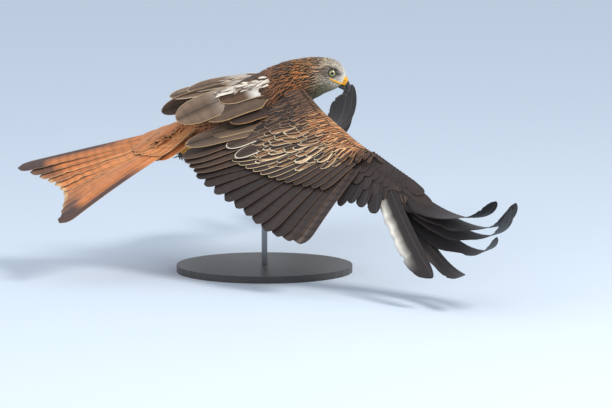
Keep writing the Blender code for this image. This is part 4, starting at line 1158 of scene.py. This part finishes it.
# %% [markdown]
# ## Scapulars
# Large soft feathers lie back from the shoulder and close the gap between wing and back. They are
# grey-brown with a dark shaft and a pale rim, and white and downy at the base. Wind has lifted a few.

# %% Scapulars on both sides
# Root, tip, half width, lean outwards and arch, then vane colour, fringe colour and how white the base is.
SCAPULARS = (
    ((-0.103, 0.030, 0.019), (-0.228, 0.060, -0.023), 0.026, 25.0, 8.0,
     (112, 91, 75), (176, 146, 108), 0.15),
    ((-0.065, 0.040, 0.014), (-0.180, 0.062, -0.021), 0.022, 22.0, 8.0,
     (94, 76, 62), (184, 148, 100), 0.0),
    ((-0.059, 0.030, 0.030), (-0.152, 0.045, 0.007), 0.017, 28.0, 10.0,
     (90, 66, 49), (186, 158, 124), 0.7),
    ((-0.044, 0.040, -0.006), (-0.137, 0.070, -0.028), 0.017, 12.0, 8.0,
     (62, 46, 38), (166, 120, 76), 0.0),
)
# The two that the wind has lifted on the left.
LIFTED_SCAPULARS = (
    ((-0.060, 0.026, 0.036), (-0.186, 0.050, 0.014), 0.015, -52.0, 10.0,
     (118, 97, 80), (206, 188, 162), 0.4),
    ((-0.100, 0.028, 0.022), (-0.216, 0.054, 0.004), 0.016, -52.0, 8.0,
     (122, 102, 85), (206, 188, 162), 0.2),
)
DOWN_FROM = np.array((-0.058, 0.031, 0.036))
DOWN_TO = np.array((-0.128, 0.035, 0.022))
DOWN_SCATTER = (0.004, 0.003, 0.003)
DOWN_REACH = np.array((-0.024, 0.005, -0.005))


def scapulars(coat, side):
    rows = SCAPULARS + LIFTED_SCAPULARS if side > 0 else SCAPULARS
    flip = np.array((1.0, side, 1.0))
    root, tip = (BIRD_AT + np.array([row[k] for row in rows]) * flip for k in (0, 1))
    half, lean, arch, white = (np.array([row[k] for row in rows]) for k in (2, 3, 4, 7))
    n = len(rows)
    t, c = grid_of(n)
    ground = np.array([shade(*row[5]) for row in rows])[:, None, None]
    strands = rng.uniform(0.78, 1.2, (n, 1, len(LONG_COLUMNS), 1))
    ground = ground * strands * rng.uniform(0.88, 1.1, (n, len(LONG_STOPS), 1, 1))
    ground = mixed(ground, ground * 0.50, eased((0.45 - abs(c)) / 0.45) * eased((t - 0.3) / 0.3) * 0.8)
    ground = mixed(ground, shade(240, 235, 226), eased((0.55 - t) / 0.22) * white[:, None, None])
    pale = np.array([shade(*row[6]) for row in rows])
    placed(coat, root, tip, UPWARD * flip, side, half, lean, arch, [ground, plain(n, 70, 56, 48), pale],
           per_feather(n, 0.0018, 0.0011, 0.0))


def white_down(coat, side):
    """Downy white bases of the scapulars, bared where the wind has lifted them."""
    n = 90
    flip = np.array((1.0, side, 1.0))
    share = rng.random(n)[:, None]
    root = DOWN_FROM * (1.0 - share) + DOWN_TO * share + rng.normal(0.0, 1.0, (n, 3)) * DOWN_SCATTER
    tip = root + DOWN_REACH * rng.uniform(0.7, 1.3, (n, 1)) + rng.normal(0.0, 0.0045, (n, 3))
    ground = mixed(plain(n, 226, 216, 202), shade(128, 104, 84), (rng.random(n) < 0.35) * 0.8)
    half = rng.uniform(0.0011, 0.0026, n)
    arch = rng.uniform(4.0, 20.0, n)
    placed(coat, BIRD_AT + root * flip, BIRD_AT + tip * flip, UPWARD * flip, side, half, np.full(n, 30.0),
           arch, [ground, plain(n, 120, 98, 80), ground * 1.1], per_feather(n, 0.0004, 0.0003, 0.0),
           round_from=0.4, ragged=0.3, stops=SMALL_STOPS, columns=SMALL_COLUMNS)


for side, word in ((1, "left"), (-1, "right")):
    shoulder = Coat(f"scapulars_{word}")
    scapulars(shoulder, side)
    white_down(shoulder, side)
    shoulder.piece(body_finish, "rufous_feather")

# %% [markdown]
# ## Tail
# Twelve feathers make the forked tail, the middle pair on top. They are rufous with fine darker bars,
# the outer ones have dark outer webs and tips, and all end in a worn cream rim.

# %% Tail feathers
TAIL_STEP = 3.1
TAIL_LIFT = 3.2
TAIL_LENGTHS = np.array((0.262, 0.266, 0.274, 0.286, 0.300, 0.321))


def tail_axes():
    pitch, twist = math.radians(TAIL_PITCH), math.radians(TAIL_TWIST)
    back = np.array((-math.cos(pitch), 0.0, -math.sin(pitch)))
    left = np.array((0.0, 1.0, 0.0)) * math.cos(twist) + np.cross(back, (0.0, 1.0, 0.0)) * math.sin(twist)
    return back, left, np.cross(left, back)


def tail_vanes(coat, side, angle, length, lift, start, half, colours, design, stops=LONG_STOPS,
               round_from=0.92, ragged=0.0):
    """Feathers that fan out from the root of the tail. start is their place along it and above it."""
    back, left, above = tail_axes()
    n = len(angle)
    turn, raised = np.radians(angle)[:, None], np.radians(lift)[:, None]
    level = back * np.cos(turn) + left * (side * np.sin(turn))
    across = left * (side * np.cos(turn)) - back * np.sin(turn)
    along = level * np.cos(raised) + above * np.sin(raised)
    up = above * np.cos(raised) - level * np.sin(raised)
    root = BIRD_AT + TAIL_ROOT + along * start[0] + above * np.asarray(start[1])[..., None]
    stations = free_vanes(root, (along, across, up), length - start[0], np.tile((2.0, -2.0), (n, 1)),
                          1.2 * angle / TAIL_STEP, np.tile((-3.5, -3.5), (n, 1)), stops)
    widths = vane_widths(half * 0.9, half * 1.1, stops, root=0.4, round_from=round_from)
    hang(coat, stations, length - start[0], widths, colours, design, stops, ragged=ragged)


def tail_feathers(coat, side):
    n = 6
    index = np.arange(n)
    t, c = grid_of(n)
    streaks = rng.uniform(0.72, 1.22, (n, 1, len(LONG_COLUMNS), 1))
    ground = shade(204, 126, 74) * (streaks * rng.uniform(0.9, 1.1, (n, len(LONG_STOPS), 1, 1)))
    outermost = np.interp(index, (1, 2, 3, 4, 5), (0.0, 0.25, 0.55, 0.85, 1.0))[:, None, None]
    web = eased(c / 0.3) * eased((t - 0.30) / 0.25) * (index == 5)[:, None, None]
    tips = eased((t - 0.84 + 0.05 * outermost) / 0.08) * outermost
    ground = mixed(ground, shade(58, 52, 55), np.maximum(web, tips) * 0.92)
    ground = mixed(ground, shade(232, 198, 150), eased((t - 0.95) / 0.03) * (1.0 - outermost) * 0.8)
    pale = mixed(shade(238, 204, 158), shade(120, 100, 88), (index >= 4) * 0.7)
    design = per_feather(n, 0.0010, 0.0008, 0.05 if side < 0 else 0.22)
    tail_vanes(coat, side, 0.5 * TAIL_STEP + TAIL_STEP * index, TAIL_LENGTHS, TAIL_LIFT * index / 5.0,
               (0.012, 0.0016 * side - 0.0006 * index), np.full(n, 0.0165),
               [ground, plain(n, 112, 72, 50), pale], design, ragged=0.30)


# Rows of tail coverts: how many, length, first angle, height over the root, angle between two, half width.
TAIL_COVERT_ROWS = (
    (4, 0.122, 2.5, 0.0088, 5.5, 0.0165),
    (4, 0.096, 4.5, 0.0108, 5.5, 0.0150),
    (4, 0.072, 2.5, 0.0126, 6.5, 0.0140),
    (3, 0.110, 4.0, -0.0105, 7.0, 0.0180),
    (3, 0.082, 6.0, -0.0120, 7.0, 0.0160),
)


def tail_coverts(coat, side):
    """Soft coverts over and under the roots of the tail."""
    for n, reach, first, above, step, half in TAIL_COVERT_ROWS:
        index = np.arange(n)
        height = above - np.sign(above) * 0.0012 * index
        colours = [plain(n, 196, 122, 72, spread=0.2), plain(n, 96, 60, 40), plain(n, 232, 186, 132)]
        design = per_feather(n, 0.0012, 0.0012, 0.0)
        tail_vanes(coat, side, first + step * index, reach - 0.006 * index, np.zeros(n), (0.004, height),
                   np.full(n, half), colours, design, round_from=0.72, ragged=0.15)


tail_coat = Coat("tail_feathers")
for side in (1, -1):
    tail_feathers(tail_coat, side)
    tail_coverts(tail_coat, side)
tail_coat.piece(flight_finish, "rufous_feather")

# %% [markdown]
# ## Solid shapes from a tube
# Skin, bill and cere are all tubes with a changing section. A cone with two equal ends is a tube, so we
# start from it, cut its upright edges across many times, and then move each corner to where the form
# wants it, by its angle and its share of the length.

# %% Tubes, balls and Booleans
def solid(name, bm, finish=None):
    bmesh.ops.recalc_face_normals(bm, faces=bm.faces)
    mesh = bpy.data.meshes.new(name)
    bm.to_mesh(mesh)
    bm.free()
    mesh.shade_smooth()
    if finish is not None:
        mesh.materials.append(finish)
    made = bpy.data.objects.new(name, mesh)
    bpy.context.scene.collection.objects.link(made)
    return made


def tube(name, place, sides, lengths, finish=None):
    """A closed tube whose corners go where place(angle, share) says."""
    bm = bmesh.new()
    bmesh.ops.create_cone(bm, cap_ends=True, segments=sides, radius1=1.0, radius2=1.0, depth=1.0)
    upright = [edge for edge in bm.edges if abs(edge.verts[0].co.z - edge.verts[1].co.z) > 0.5]
    bmesh.ops.subdivide_edges(bm, edges=upright, cuts=lengths - 1, use_grid_fill=True)
    here = np.array([v.co for v in bm.verts])
    there = place(np.arctan2(here[:, 1], here[:, 0]), here[:, 2] + 0.5)
    for v, point in zip(bm.verts, there):
        v.co = point
    return solid(name, bm, finish)


def ball(name, centre, radii, axes, finish=None, rings=16, sides=28):
    bm = bmesh.new()
    bmesh.ops.create_uvsphere(bm, u_segments=sides, v_segments=rings, radius=1.0)
    place = Matrix.Translation(centre) @ Matrix([list(a) for a in axes]).transposed().to_4x4()
    bmesh.ops.transform(bm, matrix=place @ Matrix.Diagonal((*radii, 1.0)), verts=bm.verts)
    return solid(name, bm, finish)


def rod(name, points, radii, finish=None, sides=12):
    """A round tube on a smooth curve through points, with its own radius at each."""
    points = np.array([list(p) for p in points])
    ahead = unit(np.gradient(points, axis=0))
    beside = unit(np.cross(ahead, (0.3, 0.2, 1.0)))
    table = np.concatenate((points, beside, np.cross(beside, ahead), np.array(radii)[:, None]), axis=1)

    def place(angle, share):
        row = along_rows(table, share * (len(points) - 1))
        around = row[:, 3:6] * np.cos(angle)[:, None] + row[:, 6:9] * np.sin(angle)[:, None]
        return row[:, :3] + around * row[:, 9:]

    return tube(name, place, sides, 6 * (len(points) - 1), finish)


def combine(target, tools, operation):
    """One Boolean of the target with closed tools, applied, and the tools removed."""
    group = bpy.data.collections.new(target.name + "_tools")
    bpy.context.scene.collection.children.link(group)
    for tool in tools:
        group.objects.link(tool)
    step = target.modifiers.new("combine", "BOOLEAN")
    step.operation = operation
    step.solver = "MANIFOLD"
    step.operand_type = "COLLECTION"
    step.collection = group
    made = bpy.data.meshes.new_from_object(target.evaluated_get(bpy.context.evaluated_depsgraph_get()))
    target.modifiers.clear()
    target.data = made
    for tool in tools:
        bpy.data.objects.remove(tool, do_unlink=True)
    bpy.data.collections.remove(group)
    return target


# %% [markdown]
# ## One skin
# Under the feathers the bird is one unbroken surface: head, neck, trunk, tail root, wings and thighs.
# Parts joined by a Boolean union have no seam between them. Eye sockets are cut in, and lids and brow are
# added, because there the skin shows.

# %% Join the flesh
SOCKET_AT = (0.0016, 0.0248, 0.0112)
SOCKET_RADII = (0.0112, 0.0062, 0.0092)
LID_RADIUS = 0.0068
LID_THICKNESS = 0.0011
LID_OUTWARD = 0.0052
BROW_PLACES = ((0.0130, 0.0170), (0.0060, 0.0198), (-0.0030, 0.0200), (-0.0110, 0.0172))
BROW_RADII = (0.0014, 0.0024, 0.0024, 0.0012)


def flesh_of_wing(side):
    def place(angle, share):
        outward = -0.020 + 0.338 * share
        front, rear, thick = wing_section(outward)
        turn = np.mod(angle, math.tau) / math.tau
        back = np.where(turn < 0.5, turn * 2.0, 2.0 - turn * 2.0)
        high = np.interp(back, *FOIL.T) * np.where(turn < 0.5, 1.0, FOIL_UNDER)
        # A little smaller all round than the surface on which the coverts lie.
        chord = 0.985 * (front - rear)
        return posed_wing(wing_plan(front - 0.001 - chord * back, outward, high * (thick - 0.003)), side)

    return tube("flesh", place, 24, 30)


def on_skin(skin, x, z, side, depth):
    """The point of the skin beside a place of the head's plane of symmetry, moved inwards by depth."""
    start = Vector(head_at(x, side * 0.06, z))
    aim = (Vector(head_at(x, 0.0, z)) - start).normalized()
    place, normal = skin.ray_cast(start, aim)[1:3]
    return place - normal * depth


def lid(side):
    """A ring of skin round the eye: a ring of small section spun about the eye's own axis."""
    bm = bmesh.new()
    bmesh.ops.create_circle(bm, segments=8, radius=LID_THICKNESS)
    bmesh.ops.rotate(bm, verts=bm.verts, matrix=Matrix.Rotation(math.pi / 2, 3, "X"))
    bmesh.ops.translate(bm, verts=bm.verts, vec=(LID_RADIUS, 0.0, 0.0))
    bmesh.ops.spin(bm, geom=list(bm.edges) + list(bm.verts), cent=(0, 0, 0), axis=(0, 0, 1), angle=math.tau,
                   steps=28, use_merge=True, use_duplicate=False)
    bmesh.ops.remove_doubles(bm, verts=bm.verts, dist=1e-6)
    columns = (HEAD_AXES[0], HEAD_AXES[2], HEAD_AXES[1] * side)
    turn = Matrix([list(a) for a in columns]).transposed().to_4x4()
    centre = eye_places[side] + HEAD_AXES[1] * side * LID_OUTWARD
    bmesh.ops.transform(bm, verts=bm.verts, matrix=Matrix.Translation(centre) @ turn)
    return solid("lid", bm)


skin = tube("skin", lambda angle, share: trunk_skin(share * 15.0, angle), 56, 130)
sockets, added = [], []
for side in (1, -1):
    socket_at = head_at(SOCKET_AT[0], side * SOCKET_AT[1], SOCKET_AT[2])
    sockets.append(ball("socket", socket_at, SOCKET_RADII, HEAD_AXES))
    added.append(lid(side))
    brow = [on_skin(skin, x, z, side, 0.0010) for x, z in BROW_PLACES]
    added.append(rod("brow", brow, BROW_RADII))
    added.append(flesh_of_wing(side))
    added.append(ball("thigh", BIRD_AT + THIGH_AT * (1, side, 1), THIGH_RADII * 0.92, THIGH_AXES))
combine(skin, sockets, "DIFFERENCE")
combine(skin, added, "UNION")
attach(skin, "root")
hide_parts("head", "neck", "torso", "tail", "wing_left_arm", "wing_left_hand", "wing_right_arm",
            "wing_right_hand", "leg_left", "leg_right")
print("skin faces:", len(skin.data.polygons))

# %% [markdown]
# The skin carries the same markings as the coat over it. Each of its corners takes the ground colour of
# the feather nearest to it, darkened as painted shade, so that any gap between feathers shows the coat's
# tone in shadow. Round the eyes, where the skin is bare, it is painted as a dark ring.

# %% Paint the skin from its feathers
DARK_RING = 0.0102
DARK_RING_FADE = 0.0016
coats =[head_coat, neck_coat, torso_coat, thigh_coat, *wing_coats]
spots = np.concatenate([r for coat in coats for r in coat.roots])
tones = np.concatenate([r for coat in coats for r in coat.tones])
tree = KDTree(len(spots))
for k, spot in enumerate(spots):
    tree.insert(spot, k)
tree.balance()
painted = np.zeros((len(skin.data.vertices), 3), np.float32)
for k, v in enumerate(skin.data.vertices):
    painted[k] = tones[tree.find(v.co)[1]]
places = np.array([v.co for v in skin.data.vertices])
from_eye = np.minimum(*(np.linalg.norm(places - eye_places[side], axis=1) for side in (1, -1)))
painted = mixed(painted, shade(34, 27, 24), eased((DARK_RING - from_eye) / DARK_RING_FADE))
layer = skin.data.attributes.new("ground", "FLOAT_VECTOR", "POINT")
layer.data.foreach_set("vector", painted.astype(np.float32).ravel())

bare = Finish("skin_under_feathers", Roughness=0.8)
tone, _ = bare.attribute("ground")
down = bare.noise(bare.here(), 900.0, 3.0)
# The coat's tone is scaled down to 0.3 to 0.8 of itself: painted shade in the gaps between feathers, with a
# fine downy grain.
bare.colour(bare.scaled(tone, down * 0.5 + 0.30))
bare.bump(down, 0.0004)
skin.data.materials.clear()
skin.data.materials.append(bare.material)
print("skin corners painted:", len(painted))

# %% [markdown]
# ## Bill and cere
# The bill is dark horn, hooked at the tip. Its base is wrapped in the cere, a soft yellow skin with the
# nostrils in it, which runs on as the yellow lips to the corner of the mouth under the eye.

# %% Horn and yellow skin
# Rings in the head frame: top x, top z, bottom x, bottom z, half width.
CERE_RINGS = np.array((
    (0.0190, 0.0187, 0.0190, 0.0020, 0.0080),
    (0.0265, 0.0172, 0.0265, 0.0012, 0.0074),
    (0.0310, 0.0146, 0.0305, 0.0006, 0.0066),
    (0.0322, 0.0132, 0.0318, 0.0008, 0.0056),
))
UPPER_BILL_RINGS = np.array((
    (0.0300, 0.0140, 0.0300, 0.0008, 0.0060),
    (0.0365, 0.0102, 0.0345, -0.0002, 0.0052),
    (0.0408, 0.0048, 0.0375, -0.0018, 0.0039),
    (0.0432, -0.0012, 0.0402, -0.0040, 0.0026),
    (0.0438, -0.0066, 0.0426, -0.0070, 0.0007),
))
LOWER_BILL_RINGS = np.array((
    (0.0150, 0.0010, 0.0150, -0.0066, 0.0078),
    (0.0260, 0.0012, 0.0255, -0.0064, 0.0062),
    (0.0330, 0.0000, 0.0322, -0.0060, 0.0044),
    (0.0362, -0.0022, 0.0356, -0.0056, 0.0024),
))
LIP_STARTS_AT = (0.0288, 0.0040, 0.0036)
LIP_PLACES = ((0.0240, 0.0026), (0.0170, 0.0018), (0.0090, 0.0014), (0.0010, 0.0016))
LIP_RADII = (0.0012, 0.0017, 0.0018, 0.0017, 0.0008)
NOSTRIL_AT = (0.0275, 0.0068, 0.0096)
NOSTRIL_RADII = (0.0017, 0.0016, 0.0010)


def bill_tube(name, rings, finish):
    def place(angle, share):
        top_x, top_z, low_x, low_z, width = np.moveaxis(along_rows(rings, share * (len(rings) - 1)), -1, 0)
        up = 0.5 + 0.5 * np.cos(angle)
        keel = np.sign(np.sin(angle)) * np.abs(np.sin(angle)) ** 0.85
        return head_at(low_x + (top_x - low_x) * up, width * keel, low_z + (top_z - low_z) * up)

    return tube(name, place, 32, 24, finish)


horn = Finish("bill_horn", Roughness=0.28, Coat_Weight=0.3)
growth = horn.noise(horn.here(), 420.0, 4.0)
horn.colour(horn.mix(growth, shade(22, 20, 22), shade(64, 58, 56)))
horn.bump(growth, 0.0002, 0.3)

yellow = Finish("yellow_bare_skin", Roughness=0.42, Coat_Weight=0.15)
pores = yellow.noise(yellow.here(), 700.0, 3.0)
yellow.colour(yellow.mix(pores, shade(214, 138, 14), shade(248, 190, 44)))
yellow.bump(pores, 0.0003)

cere = bill_tube("cere_skin", CERE_RINGS, yellow.material)
lips = []
nostrils = []
for side in (1, -1):
    lip = [head_at(LIP_STARTS_AT[0], side * LIP_STARTS_AT[1], LIP_STARTS_AT[2])]
    lip += [on_skin(skin, x, z, side, -0.0002) for x, z in LIP_PLACES]
    lips.append(rod("lip", lip, LIP_RADII))
    nostril_at = head_at(NOSTRIL_AT[0], side * NOSTRIL_AT[1], NOSTRIL_AT[2])
    nostrils.append(ball("nostril", nostril_at, NOSTRIL_RADII, HEAD_AXES))
combine(cere, lips, "UNION")
combine(cere, nostrils, "DIFFERENCE")
upper = bill_tube("bill_upper_horn", UPPER_BILL_RINGS, horn.material)
lower = bill_tube("bill_lower_horn", LOWER_BILL_RINGS, horn.material)
dressed = (
    (cere, "cere", "yellow_skin"),
    (upper, "bill_upper", "black_horn"),
    (lower, "bill_lower", "black_horn"),
)
for piece, node, slot in dressed:
    piece.data.shade_smooth()
    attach(piece, "root")
    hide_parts(node)
print("bill length, tip to cere:", round(float(UPPER_BILL_RINGS[-1, 0] - UPPER_BILL_RINGS[0, 0]), 4))

# %% [markdown]
# ## Eyes
# A kite's eye is a wet ball with a pale greenish-yellow iris, a round black pupil and a dark rim. One
# attribute holds how far each corner is from the middle of the iris, and a ramp turns it into rings.

# %% Eyeballs
glassy = Finish("eye_surface", Roughness=0.04, Coat_Weight=1.0, IOR=1.38)
rings = glassy.attribute("gaze")[1][0]
rays = glassy.noise(glassy.here(), 900.0)
# Pupil, iris with a paler middle, and rim, by distance from the middle of the iris.
EYE_STOPS = (
    (0.0, shade(6, 6, 8)),
    (0.285, shade(8, 8, 8)),
    (0.32, shade(132, 126, 80)),
    (0.46, shade(176, 170, 118)),
    (0.60, shade(128, 120, 70)),
    (0.67, shade(20, 16, 14)),
)
ramp = glassy.node("ShaderNodeValToRGB", [rings + (rays - 0.5) * 0.03], stops=EYE_STOPS)
glassy.colour(ramp.outputs[0])
for side, word in ((1, "left"), (-1, "right")):
    eye = ball(f"eyeball_{word}", eye_places[side], (EYE_RADIUS,) * 3, HEAD_AXES, glassy.material, 48, 64)
    outward = HEAD_AXES[1] * side
    away = unit(np.array([v.co for v in eye.data.vertices]) - eye_places[side])
    facing = away @ outward
    gaze = np.where(facing > 0, np.sqrt(np.clip(1 - facing**2, 0, 1)), 1.0)
    layer = eye.data.attributes.new("gaze", "FLOAT_VECTOR", "POINT")
    layer.data.foreach_set("vector", np.stack((gaze, gaze, gaze), axis=-1).astype(np.float32).ravel())
    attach(eye, "root")
    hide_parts(f"eye_{word}")
print("eye width:", EYE_RADIUS * 2)

# %% [markdown]
# ## Feet and claws
# In flight the feet are tucked back under the tail, closed. Their solids already have the right shape, so
# they keep it and get the finish of scaled yellow skin and of black horn.

# %% Feet and claws
for name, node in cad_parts.items():
    if name.startswith("foot_"):
        node.data.materials.clear()
        node.data.materials.append(yellow.material)
    elif name.startswith("claw_"):
        node.data.materials.clear()
        node.data.materials.append(horn.material)
print("feet and claws:", sum(name.startswith(("foot_", "claw_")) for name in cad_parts))

# %% [markdown]
# ## Stand
# The bird is held by a plain stand: a round board, stained dark, and a brushed steel rod.

# %% Stand finishes
board = Finish("stained_board", Roughness=0.42)
along_grain = board.node("ShaderNodeMapping", {"Vector": board.here(), "Scale": (4.0, 60.0, 60.0)})
grain = board.noise(along_grain.outputs[0], 3.0, 6.0)
board.colour(board.mix(grain, shade(46, 44, 44), shade(78, 74, 72)))
board.bump(grain, 0.0004, 0.3)
steel = Finish("brushed_steel", Metallic=1.0, Roughness=0.3)
round_rod = steel.node("ShaderNodeMapping", {"Vector": steel.here(), "Scale": (1.0, 1.0, 40.0)})
brushed = steel.noise(round_rod.outputs[0], 60.0, 3.0)
steel.colour(steel.mix(brushed, (0.16, 0.165, 0.175), (0.26, 0.265, 0.28)))
for name, finish in (("stand_base", board), ("stand_rod", steel)):
    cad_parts[name].data.materials.clear()
    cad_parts[name].data.materials.append(finish.material)
print("stand finishes:", board.material.name, steel.material.name)

# %% [markdown]
# ## Floor, light and camera
# The photo was taken from the bird's right, a little above it, from far away. A long lens at twelve
# metres gives the same view. The floor is plain and pale, and wide soft lights stand in for the sky.
# The Standard view transform shows the colours as they were chosen, where the default one makes them
# paler and greyer.

# %% Floor and light
bm = bmesh.new()
bmesh.ops.create_circle(bm, cap_ends=True, segments=64, radius=24.0)
floor = solid("floor", bm)
pale = Finish("pale_floor", Roughness=0.9, Base_Color=(0.66, 0.74, 0.84, 1.0), Specular_IOR_Level=0.1)
floor.data.materials.append(pale.material)

world = bpy.data.worlds.new("soft_sky")
world.use_nodes = True
sky = world.node_tree.nodes["Background"]
sky.inputs["Color"].default_value = (0.86, 0.92, 1.0, 1.0)
sky.inputs["Strength"].default_value = 0.80
bpy.context.scene.world = world
bpy.context.scene.view_settings.view_transform = "Standard"


def soft_light(name, place, aim, size, power, colour):
    lamp = bpy.data.lights.new(name, "AREA")
    lamp.shape = "DISK"
    lamp.size = size
    lamp.energy = power
    lamp.color = colour
    made = bpy.data.objects.new(name, lamp)
    made.location = place
    made.rotation_euler = (Vector(aim) - Vector(place)).to_track_quat("-Z", "Y").to_euler()
    bpy.context.scene.collection.objects.link(made)
    return made


LIGHTS_AIM = (0.0, 0.0, 0.25)
lights = [
    soft_light("key", (1.4, -2.6, 3.0), LIGHTS_AIM, 1.2, 100.0, (1.0, 0.97, 0.92)),
    soft_light("fill", (-2.8, -1.6, 1.6), LIGHTS_AIM, 2.0, 20.0, (0.92, 0.96, 1.0)),
]
print("lights:", len(lights))

# %% [markdown]
# The camera's own axes come from the two angles of view. One picture element is 1.7 millimetres at the
# bird, and the lens follows from that and the distance.

# %% Camera
AZIMUTH = math.radians(-13.0)
ELEVATION = math.radians(7.5)
DISTANCE = 12.0
METRES_PER_PIXEL = 0.0017
PHOTO_WIDTH = 612
SENSOR_MM = 36.0
# The middle of the picture, from the bird's own place: to the right and down.
AIM_RIGHT = 0.0102
AIM_DOWN = 0.1768
level = math.cos(ELEVATION)
back = Vector((math.sin(AZIMUTH) * level, -math.cos(AZIMUTH) * level, math.sin(ELEVATION)))
right = Vector((math.cos(AZIMUTH), math.sin(AZIMUTH), 0.0))
up = back.cross(right)
aim = Vector(BIRD_AT) + right * AIM_RIGHT - up * AIM_DOWN
lens = bpy.data.cameras.new("camera")
lens.sensor_width = SENSOR_MM
lens.lens = SENSOR_MM * DISTANCE / (PHOTO_WIDTH * METRES_PER_PIXEL)
lens.clip_end = 100.0
camera = bpy.data.objects.new("camera", lens)
turn = Matrix((right, up, back)).transposed().to_4x4()
camera.matrix_world = Matrix.Translation(aim + back * DISTANCE) @ turn
bpy.context.scene.collection.objects.link(camera)
bpy.context.scene.camera = camera
print("lens:", round(lens.lens, 1), "mm")
